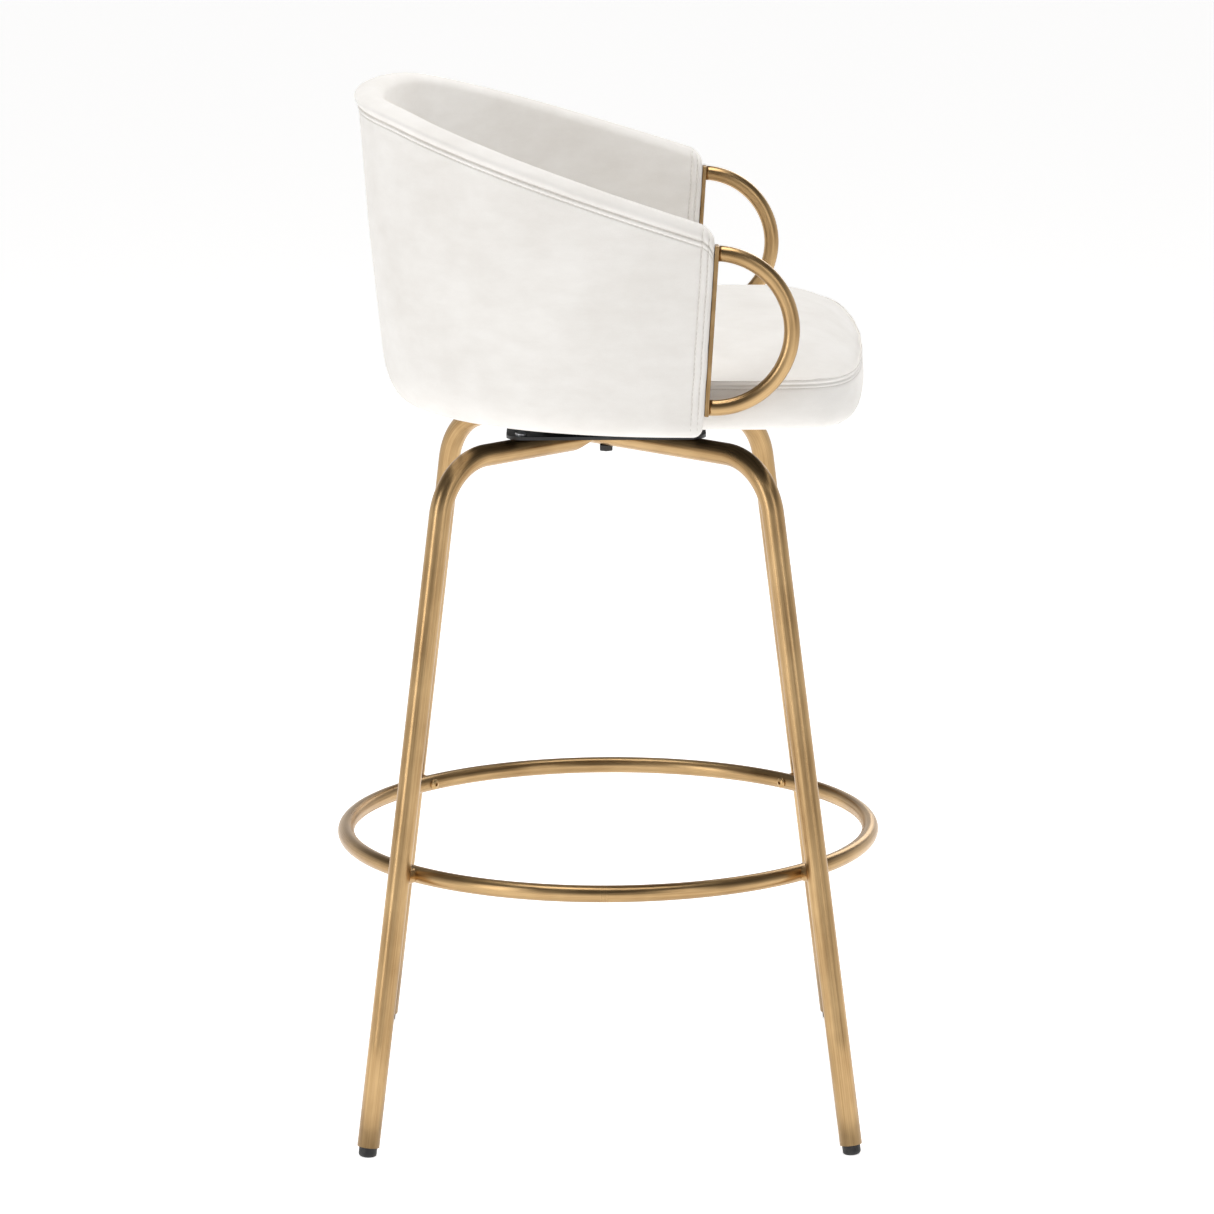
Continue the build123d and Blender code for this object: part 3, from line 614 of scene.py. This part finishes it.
# (inset, height) of each ring, from the bottom edge up to the top panel
CUSHION_RINGS = [(0.0260, 0.6956), (0.0170, 0.6954), (0.0100, 0.6958), (0.0055, 0.6980),
                 (0.0028, 0.7025), (0.0012, 0.7090), (0.0006, 0.7160), (0.0006, 0.7230),
                 (0.0010, 0.7290)]
for offset, depth in ((-6.0, 0.4), (-4.4, 0.8), (-3.6, 1.5), (-2.8, 0.9), (-1.6, 0.9),
                      (-0.7, 1.6), (0.0, 2.1), (0.7, 1.6), (1.6, 0.9), (2.8, 0.9), (3.6, 1.5),
                      (4.4, 0.7), (5.6, 0.2)):
    CUSHION_RINGS.append((0.0008 + depth / 1000, SEAM_Z + offset / 1000))

bpy.ops.object.select_all(action="DESELECT")
bpy.ops.mesh.primitive_circle_add(vertices=CUSHION_RING, radius=CUSHION_HALF_WIDTH)
cushion = bpy.context.object
bpy.ops.object.mode_set(mode="EDIT")
for _ in range(len(CUSHION_RINGS) + len(TOP_INSETS)):
    push_ring((0, 0, LEVEL_STEP))
bpy.ops.mesh.fill_grid(span=CUSHION_RING // 4)
bpy.ops.object.mode_set(mode="OBJECT")
rings = {}
for vertex in cushion.data.vertices:
    if abs(hypot(vertex.co.x, vertex.co.y) - CUSHION_HALF_WIDTH) < 1e-5:
        around = np.arctan2(vertex.co.y, vertex.co.x)
        rings[vertex.index] = (round(vertex.co.z / LEVEL_STEP),
                               round(around / (2 * pi) * CUSHION_RING) % CUSHION_RING)
first_point = int(np.argmin(np.hypot(cushion_plan[:, 0] - CUSHION_HALF_WIDTH,
                                     cushion_plan[:, 1] - CUSHION_CENTRE_Y)))
direction = 1 if cushion_plan[(first_point + 3) % CUSHION_RING][1] > CUSHION_CENTRE_Y else -1
profile = [(0.034, 0.6958)] + CUSHION_RINGS + [(inset, None) for inset in TOP_INSETS]
for vertex in cushion.data.vertices:
    if vertex.index in rings:
        level, place_round = rings[vertex.index]
        spot = (first_point + direction * place_round) % CUSHION_RING
        inset, height = profile[level]
        x, y = cushion_plan[spot] - cushion_normals[spot] * inset
        vertex.co = (x, y, height if height is not None else crown_height(x, y))
# the top panel's inner points spread smoothly inside its edge
top_inner = [vertex.index for vertex in cushion.data.vertices if vertex.index not in rings]
neighbours = {index: [] for index in top_inner}
for one in cushion.data.edges:
    first, second = one.vertices
    if first in neighbours:
        neighbours[first].append(second)
    if second in neighbours:
        neighbours[second].append(first)
spots = np.array([vertex.co[:] for vertex in cushion.data.vertices])
inner = np.array(top_inner)
around_inner = np.array([(neighbours[index] + neighbours[index][:1])[:4] for index in top_inner])
for _ in range(1500):
    spots[inner, :2] += 0.9 * (spots[around_inner][:, :, :2].mean(1) - spots[inner, :2])
for index in top_inner:
    x, y = spots[index, :2]
    cushion.data.vertices[index].co = (x, y, crown_height(x, y))
finish_mesh(cushion, "cushion_cover", 80)
bpy.ops.object.shade_smooth()

held = cushion.vertex_groups.new(name="held")
for vertex in cushion.data.vertices:
    if vertex.co.z < SEAM_Z + TOP_LIFT:
        held.add([vertex.index], 1.0, "REPLACE")
before_fill = [vertex.co.copy() for vertex in cushion.data.vertices]
filling = cushion.modifiers.new("filling", "CLOTH")
filling.settings.quality = 6
filling.settings.mass = 0.3
filling.settings.tension_stiffness = 22
filling.settings.compression_stiffness = 22
filling.settings.bending_stiffness = 2.5
filling.settings.use_pressure = True
filling.settings.uniform_pressure_force = 4.0
filling.settings.vertex_group_mass = "held"
filling.settings.effector_weights.gravity = 0
filling.point_cache.frame_start = 1
filling.point_cache.frame_end = FILL_FRAMES
for step in range(1, FILL_FRAMES + 1):
    scene.frame_set(step)
bpy.context.view_layer.objects.active = cushion
bpy.ops.object.modifier_apply(modifier="filling")
scene.frame_set(1)
for vertex, start in zip(cushion.data.vertices, before_fill):
    move = vertex.co - start
    if move.length > FILL_CAP:
        move = move.normalized() * FILL_CAP
    vertex.co = start + move
    slack = min(1.0, max(0.0, (start.z - SEAM_Z - 0.004) / 0.02))
    ripple = noise.noise(Vector((start.x * 9, start.y * 9, 3.1))) * 0.0016
    ripple += noise.noise(Vector((start.x * 24, start.y * 20, 7.7))) * 0.0007
    vertex.co.z += slack * ripple
apply_modifier(cushion, "SUBSURF", levels=1, render_levels=1)
bpy.ops.object.shade_smooth()
cushion.data.materials.append(ivory_velvet)
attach(cushion, "seat")
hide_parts("seat_cushion")

# ---- Stitches ----
# Slightly sunk ivory thread, one short stitch after another. The same stitch is copied
# along every sewn line.
STITCH_PITCH = 0.0046
STITCH_LENGTH = 0.0017
STITCH_THICKNESS = 0.00030
CUSHION_STITCHES = 620
CUSHION_STITCHES_END_Y = -0.055   # behind this the seam is out of sight in the tub

thread, wire = new_finish("ivory_thread", Specular_IOR_Level=0.4)
twist = wire.place().noise(2600.0, 3.0, 0.6)
join_up(thread, Base_Color=twist.mix((0.56, 0.52, 0.48, 1), (0.72, 0.69, 0.65, 1)),
        Roughness=0.55 + twist * 0.2, Normal=twist.bump(0.0001, 0.4))

bpy.ops.object.select_all(action="DESELECT")
bpy.ops.mesh.primitive_uv_sphere_add(segments=6, ring_count=5, radius=1)
stitch = bpy.context.object
stitch.data.transform(Matrix.Rotation(pi / 2, 4, "Y"))
stitch.data.transform(Matrix.Diagonal((STITCH_LENGTH, STITCH_THICKNESS * 1.3,
                                       STITCH_THICKNESS, 1)))
stitch_mesh = stitch.data.copy()
bpy.data.objects.remove(stitch)


def sew(name, line):
    """Lays stitches on a line of (place, direction, outward) and joins them as one piece."""
    sewn = bmesh.new()
    for place, direction, outward in line:
        sideways = outward.cross(direction).normalized()
        up = direction.cross(sideways).normalized()
        turn = Matrix((direction.normalized(), sideways, up)).transposed().to_4x4()
        start = len(sewn.verts)
        sewn.from_mesh(stitch_mesh)
        sewn.verts.ensure_lookup_table()
        bmesh.ops.transform(sewn, matrix=Matrix.Translation(place) @ turn,
                            verts=sewn.verts[start:])
    mesh = bpy.data.meshes.new(name)
    sewn.to_mesh(mesh)
    sewn.free()
    piece = bpy.data.objects.new(name, mesh)
    scene.collection.objects.link(piece)
    mesh.shade_smooth()
    mesh.materials.append(thread)
    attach(piece, "seat")
    return piece


cushion_line = evenly([tuple(point) for point in cushion_plan], CUSHION_STITCHES)
bpy.context.view_layer.update()
for name, height in (("cushion_stitches_upper", SEAM_Z + SEAM_SPACING),
                     ("cushion_stitches_lower", SEAM_Z - SEAM_SPACING)):
    sewn_line = []
    for index in range(len(cushion_line)):
        spot = Vector((*cushion_line[index], height))
        if spot.y > CUSHION_STITCHES_END_Y:
            continue
        after = Vector((*cushion_line[(index + 1) % len(cushion_line)], height))
        along = (after - spot).normalized()
        outward = along.cross(Vector((0, 0, 1)))
        if outward.dot(spot - Vector((0, -0.05, height))) < 0:
            outward = -outward
        hit, place, normal, _ = cushion.ray_cast(spot + outward * 0.02, -outward)
        if hit:
            sewn_line.append((place, along, normal))
    sew(name, sewn_line)

# ---- Back shell ----
# The tub back: padding over the bent core, covered in ivory velvet. The outside and inside
# panels meet at a seam under the padded rim, and the arms' front edges are double stitched.
SHELL_HALF_WIDTH = 0.302
# height, depth and squareness of the outline at two levels
SHELL_BOTTOM = (0.685, 0.305, 2.1)
SHELL_TOP = (0.991, 0.331, 2.4)
SHELL_FLOOR_Z = 0.6945
RIM_TOP_Z = 0.981
RIM_SLOPE = 0.317
RIM_LEVEL_Y = 0.211
RIM_BEND = 0.026
WALL = 0.024
FRONT_FACE_Y = -0.0929
FRONT_FACE_Z = 0.7905
FRONT_LEAN = tan(radians(3.7))
FRONT_TOP_ROUND = 0.014
FRONT_BOTTOM_ROUND = 0.009
EDGE_ROUND = 0.0046
EDGE_STITCHES = (0.0056, 0.0116)
RIM_SEAM = 0.0140
RIM_STITCH = 0.0187
RIM_ROLL = 0.0125
OUTLINE_STEPS = 240
OUTLINE_FRONT_Y = -0.16    # the outlines run on past the arms' faces, and are cut there
SEAM_ROWS = (0.0245, 0.0230, 0.0215, 0.0204, 0.0196, 0.0191, 0.0187, 0.0183, 0.0178, 0.0171,
             0.0163, 0.0156, 0.0150, 0.0145, 0.0140, 0.0135, 0.0130)
FRONT_ZONE = 0.030
FRONT_COLUMNS = (0.0, 0.0006, 0.0014, 0.0024, 0.0036, 0.0046, 0.0052, 0.0056, 0.0060, 0.0066,
                 0.0076, 0.0090, 0.0104, 0.0111, 0.0116, 0.0121, 0.0128, 0.0142, 0.0165,
                 0.0195, 0.0240)
MIDDLE_COLUMNS = 200
MEAN_RIM_Z = 0.93

bottom_line, top_line = [
    np.array([(-SHELL_HALF_WIDTH, OUTLINE_FRONT_Y)]
             + tub_curve(SHELL_HALF_WIDTH, depth, power, OUTLINE_STEPS)
             + [(SHELL_HALF_WIDTH, OUTLINE_FRONT_Y)])
    for _, depth, power in (SHELL_BOTTOM, SHELL_TOP)]


def outline_at(height):
    """The tub's outline at a height, cut at the arms' front faces, with its lengths."""
    share = (height - SHELL_BOTTOM[0]) / (SHELL_TOP[0] - SHELL_BOTTOM[0])
    line = bottom_line + (top_line - bottom_line) * share
    face_y = FRONT_FACE_Y - FRONT_LEAN * (height - FRONT_FACE_Z)
    half = len(line) // 2
    first = np.interp(face_y, line[:half, 1], np.arange(half))
    last = len(line) - 1 - first
    whole = np.arange(int(first) + 1, int(np.ceil(last)))
    places = np.concatenate(([first], whole, [last]))
    cut = np.stack([np.interp(places, np.arange(len(line)), line[:, axis]) for axis in (0, 1)], 1)
    steps = np.hypot(*np.diff(cut, axis=0).T)
    return cut, np.concatenate(([0], np.cumsum(steps)))


def wall_place(line, lengths, along, depth, height):
    """A point of the wall: along its outline from the right arm, and in from its face."""
    (x, y), (ahead_x, ahead_y), (back_x, back_y) = [
        [np.interp(along + shift, lengths, line[:, axis]) for axis in (0, 1)]
        for shift in (0, 0.004, -0.004)]
    run_x, run_y = ahead_x - back_x, ahead_y - back_y
    length = hypot(run_x, run_y)
    normal = Vector((-run_y / length, run_x / length, 0))
    return Vector((x, y, height)) - normal * depth, normal, Vector((run_x, run_y, 0)) / length


def rim_height(y):
    """Top of the rim: level at the back, a rounded bend, then falling along the arms."""
    ahead = RIM_LEVEL_Y - y
    if abs(ahead) < RIM_BEND:
        ahead = (ahead + RIM_BEND) ** 2 / (4 * RIM_BEND)
    return RIM_TOP_Z - RIM_SLOPE * max(ahead, 0)


def rounding(distance, radius):
    """How far a quarter-round edge has drawn back at a distance from its end."""
    return radius - sqrt(max(radius ** 2 - max(radius - distance, 0) ** 2, 0))


def between(first, second, share):
    """A value part of the way from the first to the second."""
    return first + (second - first) * min(max(share, 0), 1)


def column(from_front, fraction):
    """Facts of one column of the wall: rim and floor heights, and how its edge is rolled."""
    height = MEAN_RIM_Z
    for _ in range(4):
        line, lengths = outline_at(height)
        along = station(from_front, fraction, lengths[-1])
        y = wall_place(line, lengths, along, 0, height)[0].y
        height = rim_height(y)
    edge_distance = from_front if from_front is not None else 1.0
    back_share = min(1, max(0, (y + 0.09) / 0.30)) ** 0.8
    top = height - rounding(edge_distance, FRONT_TOP_ROUND)
    floor_z = SHELL_FLOOR_Z - 0.0035 * back_share + rounding(edge_distance, FRONT_BOTTOM_ROUND)
    return {"top": top, "floor": floor_z, "tuck": 0.005 + 0.011 * back_share,
            "rise": 0.012 + 0.032 * back_share, "edge": edge_distance,
            "draw": rounding(edge_distance, EDGE_ROUND), "flare": 0.0006 + 0.0044 * back_share ** 3}


def station(from_front, fraction, total):
    """Distance along an outline of a column, given near one end or as a share between."""
    if from_front is None:
        return FRONT_ZONE + fraction * (total - 2 * FRONT_ZONE)
    return from_front if fraction < 0.5 else total - from_front


def groove(distance, depth, width):
    """Depth of a stitched groove at a distance from its line."""
    return depth * exp(-(distance / width) ** 2)


def rim_swell(turn):
    """How the rim's roll bulges outwards, most a little above its seam."""
    return exp(-((max(turn, 0) - 0.55) / 0.5) ** 2)


def wall_rows(facts):
    """(depth, height, offset below the rim) of each row round the wall's section."""
    top, floor_z, tuck, rise = facts["top"], facts["floor"], facts["tuck"], facts["rise"]
    inner_share = (facts["edge"] - 0.014) / 0.010
    rows = [(between(0.018, 0.034, inner_share), between(floor_z + 0.0010, 0.6958, inner_share)),
            (between(0.016, 0.033, inner_share), between(floor_z + 0.0005, 0.6946, inner_share)),
            (between(0.014, 0.028, inner_share), floor_z + 0.0003),
            (between(0.010, 0.021, inner_share), floor_z)]
    for step in range(9):
        turn = pi / 2 * (1 - step / 8)
        rows.append((tuck * (1 - cos(turn)), floor_z + rise * (1 - sin(turn))))
    wall_foot = floor_z + rise
    zone_foot = top - 0.0260
    for step in range(1, 15):
        share = step / 15
        bulge = 0.0010 * sin(pi * share)
        rows.append((-bulge, wall_foot + (zone_foot - wall_foot) * share))
    for below in SEAM_ROWS:
        sunk = groove(below - RIM_SEAM, 0.0026, 0.0009) + groove(below - RIM_STITCH, 0.0013, 0.0008)
        proud = facts["flare"] * rim_swell(-1.0) * (1 - min(1, max(0, (below - 0.013) / 0.008)))
        rows.append((sunk - proud, top - below))
    for step in range(1, 18):
        turn = pi * step / 18
        rows.append((WALL / 2 - WALL / 2 * cos(turn) - facts["flare"] * rim_swell(turn),
                     top - RIM_ROLL + RIM_ROLL * sin(turn) ** 0.9))
    inner_foot = between(floor_z + 0.012, 0.7115, inner_share)
    for step in range(15):
        share = step / 14
        bulge = 0.0012 * sin(pi * share)
        rows.append((WALL + bulge, top - RIM_ROLL - (top - RIM_ROLL - inner_foot) * share))
    for depths, above_floor, height in (((0.0230, 0.0165), 0.006, 0.7115),
                                        ((0.0215, 0.0165), 0.003, 0.6962),
                                        ((0.0200, 0.0320), 0.0015, 0.6961)):
        rows.append((between(*depths, inner_share),
                     between(floor_z + above_floor, height, inner_share)))
    return rows


columns = [(distance, 0) for distance in FRONT_COLUMNS]
columns += [(None, step / MIDDLE_COLUMNS) for step in range(MIDDLE_COLUMNS + 1)]
columns += [(distance, 1) for distance in reversed(FRONT_COLUMNS)]

row_count = len(wall_rows(column(None, 0.5)))
bpy.ops.object.select_all(action="DESELECT")
bpy.ops.mesh.primitive_grid_add(x_subdivisions=len(columns) - 1, y_subdivisions=row_count,
                                size=1)
shell = bpy.context.object
outlines = {}
for number, (from_front, fraction) in enumerate(columns):
    facts = column(from_front, fraction)
    rows = wall_rows(facts)
    sunk = sum(groove(facts["edge"] - line_place, 0.0017, 0.0007) for line_place in EDGE_STITCHES)
    for row in range(row_count + 1):
        depth, height = rows[row % row_count]
        away = (depth - WALL / 2) / (WALL / 2)
        depth -= away * facts["draw"] * min(1.0, 1.0 / max(abs(away), 0.001))
        if height - facts["floor"] > 0.02:
            depth += sunk * (1 if depth < WALL / 2 else -1) * min(1, abs(away))
        key = round(height, 4)
        if key not in outlines:
            outlines[key] = outline_at(key)
        line, lengths = outlines[key]
        along = station(from_front, fraction, lengths[-1])
        place, normal, direction = wall_place(line, lengths, along, depth, height)
        sag = noise.noise(place * 7.0) * 0.0011 + noise.noise(place * 19.0) * 0.0004
        if facts["edge"] < 0.02:
            side = 1 if fraction < 0.5 else -1
            place -= direction * side * noise.noise(Vector((0, 3 * side, place.z * 55))) * 0.0009
        shell.data.vertices[row * len(columns) + number].co = place + normal * sag
bpy.ops.object.mode_set(mode="EDIT")
bpy.ops.mesh.select_all(action="SELECT")
bpy.ops.mesh.remove_doubles(threshold=0.000005)
bpy.ops.mesh.select_all(action="DESELECT")
bpy.ops.mesh.select_non_manifold()
bpy.ops.mesh.edge_face_add()
bpy.ops.object.mode_set(mode="OBJECT")
finish_mesh(shell, "back_upholstery", 80)
apply_modifier(shell, "SUBSURF", levels=1, render_levels=1)
bpy.ops.object.shade_smooth()
shell.data.materials.append(ivory_velvet)
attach(shell, "seat")
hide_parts("back_outer_pad", "back_inner_pad", "back_edge_roll")

bpy.context.view_layer.update()


def sew_wall(name, places, inside=False):
    """Sews stitches on the shell at (from_front, fraction, height) places."""
    laid = []
    for from_front, fraction, height, upward in places:
        line, lengths = outline_at(height)
        along = station(from_front, fraction, lengths[-1])
        spot, normal, direction = wall_place(line, lengths, along, WALL / 2, height)
        aim = normal if inside else -normal
        hit, place, face_normal, _ = shell.ray_cast(spot - aim * 0.03, aim)
        if hit:
            across_wall = direction if upward is None else upward
            laid.append((place - face_normal * 0.0001, across_wall, face_normal))
    return sew(name, laid)


edge_places = []
for line_place in EDGE_STITCHES:
    for fraction in (0, 1):
        facts = column(line_place, fraction)
        height = facts["floor"] + 0.008
        while height < facts["top"] - 0.004:
            edge_places.append((line_place, fraction, height, Vector((0, -FRONT_LEAN, 1))))
            height += STITCH_PITCH
sew_wall("edge_stitches_outside", edge_places)
sew_wall("edge_stitches_inside", edge_places, inside=True)
rim_places = []
whole_length = outline_at(MEAN_RIM_Z)[1][-1]
stitch_total = int((whole_length - 2 * FRONT_ZONE) / STITCH_PITCH)
for step in range(stitch_total + 1):
    facts = column(None, step / stitch_total)
    height = facts["top"] - RIM_STITCH
    rim_places.append((None, step / stitch_total, height))
sloped = []
for index, (from_front, fraction, height) in enumerate(rim_places):
    following = rim_places[min(index + 1, len(rim_places) - 1)]
    before = rim_places[max(index - 1, 0)]
    ends = []
    for _, share, level in (before, following):
        line, lengths = outline_at(level)
        ends.append(wall_place(line, lengths, station(None, share, lengths[-1]), 0, level)[0])
    sloped.append((None, fraction, height, (ends[1] - ends[0]).normalized()))
sew_wall("rim_stitches", sloped)

# ---- Dust cover ----
# A thin black non-woven cloth stretched under the seat board. It is cut out round the riser,
# and sags a little between its two edges.
COVER_Z = 0.6974
COVER_COLUMNS = 180
COVER_ROWS = 22
COVER_SAG = 0.0014
COVER_PULLS = 0.0008
COVER_THICKNESS = 0.0004
HOLE_HALF = 0.0952
HOLE_POWER = 9

lining, wire = new_finish("black_lining", Sheen_Weight=0.2)
place = wire.place()
felt = place.noise(900.0, 5.0, 0.75)
dimples = wire.node("ShaderNodeTexVoronoi", sockets={"Vector": place, "Scale": 700.0})
join_up(lining, Base_Color=felt.mix((0.008, 0.008, 0.009, 1), (0.040, 0.040, 0.042, 1)),
        Roughness=0.8 + felt * 0.15, Normal=dimples.bump(0.0004, 0.6))

edge_points = {(round(vertex.co.x, 5), round(vertex.co.y, 5))
               for vertex in nodes["dust_cover"].data.vertices
               if max(abs(vertex.co.x), abs(vertex.co.y)) > HOLE_HALF + 0.01}
cover_plan = evenly(sorted(edge_points, key=lambda point: np.arctan2(point[1], point[0])),
                    COVER_COLUMNS)
bpy.ops.object.select_all(action="DESELECT")
bpy.ops.mesh.primitive_circle_add(vertices=COVER_COLUMNS, radius=0.1)
cover = bpy.context.object
bpy.ops.object.mode_set(mode="EDIT")
for _ in range(COVER_ROWS):
    push_ring((0, 0, LEVEL_STEP))
bpy.ops.object.mode_set(mode="OBJECT")
for vertex in cover.data.vertices:
    inwards = round(vertex.co.z / LEVEL_STEP) / COVER_ROWS
    around = np.arctan2(vertex.co.y, vertex.co.x)
    x, y = cover_plan[round(around / (2 * pi) * COVER_COLUMNS) % COVER_COLUMNS]
    reach = hypot(x, y)
    squareness = abs(x / reach) ** HOLE_POWER + abs(y / reach) ** HOLE_POWER
    hole = HOLE_HALF / squareness ** (1 / HOLE_POWER)
    kept = 1 - inwards * (1 - hole / reach)
    x, y = x * kept, y * kept
    slack = sin(pi * inwards)
    pulls = noise.noise(Vector((x * 22, y * 22, 5.3))) * COVER_PULLS
    vertex.co = (x, y, COVER_Z - slack * (COVER_SAG + pulls))
finish_mesh(cover, "dust_cover_cloth", 60)
apply_modifier(cover, "SOLIDIFY", thickness=COVER_THICKNESS, offset=0)
bpy.ops.object.shade_smooth()
cover.data.materials.append(lining)
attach(cover, "seat")
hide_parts("dust_cover")

# ---- Arm handles ----
# A half circle of brass-plated tube, welded to a flat bar that is screwed to each arm's
# front edge.
HANDLE_X = 0.290
HANDLE_Y = -0.097
HANDLE_Z = 0.7905
HANDLE_ARC = 0.070
HANDLE_TUBE = 0.0072
HANDLE_LEAN = radians(3.7)
HANDLE_WALL = 0.0012
HANDLE_SIDES = 40
HANDLE_STEPS = 64
BAR_WIDTH = 0.018
BAR_THICKNESS = 0.004
BAR_LENGTH = 2 * (HANDLE_ARC + HANDLE_TUBE)
BAR_BEVEL = 0.0009

# The bar's brass is painted much darker than the tube's brass: painted shade and painted dark
# reflection on the bar's faces.
shaded_brass_bar = brushed_block("shaded_brass_bar", (0.19, 0.115, 0.05, 1), (0.44, 0.29, 0.14, 1),
                          grain_scale=(700, 700, 14))
up_bar = Vector((0, -sin(HANDLE_LEAN), cos(HANDLE_LEAN)))
off_bar = Vector((0, -cos(HANDLE_LEAN), -sin(HANDLE_LEAN)))


def handle_station(point, middle):
    """Place round a handle's tube, and distance along its half circle, of a surface point."""
    from_middle = point - middle
    out, rise = from_middle.dot(off_bar), from_middle.dot(up_bar)
    return from_middle.x, hypot(out, rise) - HANDLE_ARC, HANDLE_ARC * np.arctan2(rise, out)


for side, hand in ((-1, "right"), (1, "left")):
    middle = Vector((side * HANDLE_X, HANDLE_Y, HANDLE_Z))
    bpy.ops.object.select_all(action="DESELECT")
    bpy.ops.mesh.primitive_circle_add(vertices=HANDLE_SIDES, radius=HANDLE_TUBE,
                                      location=middle - up_bar * HANDLE_ARC,
                                      rotation=off_bar.to_track_quat("Z", "Y").to_euler())
    handle = bpy.context.object
    bpy.ops.object.mode_set(mode="EDIT")
    bend_ring(-pi, middle, (1, 0, 0), HANDLE_STEPS)
    bpy.ops.object.mode_set(mode="OBJECT")
    finish_mesh(handle, f"handle_bow_{hand}")
    apply_modifier(handle, "SOLIDIFY", thickness=HANDLE_WALL, offset=-1)
    write_grain(handle, lambda point: handle_station(point, middle))
    handle.data.materials.append(brass_along_tube)
    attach(handle, "seat")
    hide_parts(f"handle_tube_{hand}")

    bpy.ops.object.select_all(action="DESELECT")
    bpy.ops.mesh.primitive_cube_add(size=1, location=middle - off_bar * BAR_THICKNESS / 2,
                                    rotation=(HANDLE_LEAN, 0, 0))
    bar = bpy.context.object
    bar.scale = (BAR_WIDTH, BAR_THICKNESS, BAR_LENGTH)
    finish_mesh(bar, f"handle_bar_{hand}", 35)
    apply_modifier(bar, "BEVEL", width=BAR_BEVEL, segments=3)
    bpy.ops.object.shade_smooth_by_angle(angle=radians(35))
    bar.data.materials.append(shaded_brass_bar)
    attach(bar, "seat")
    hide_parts(f"handle_strip_{hand}")
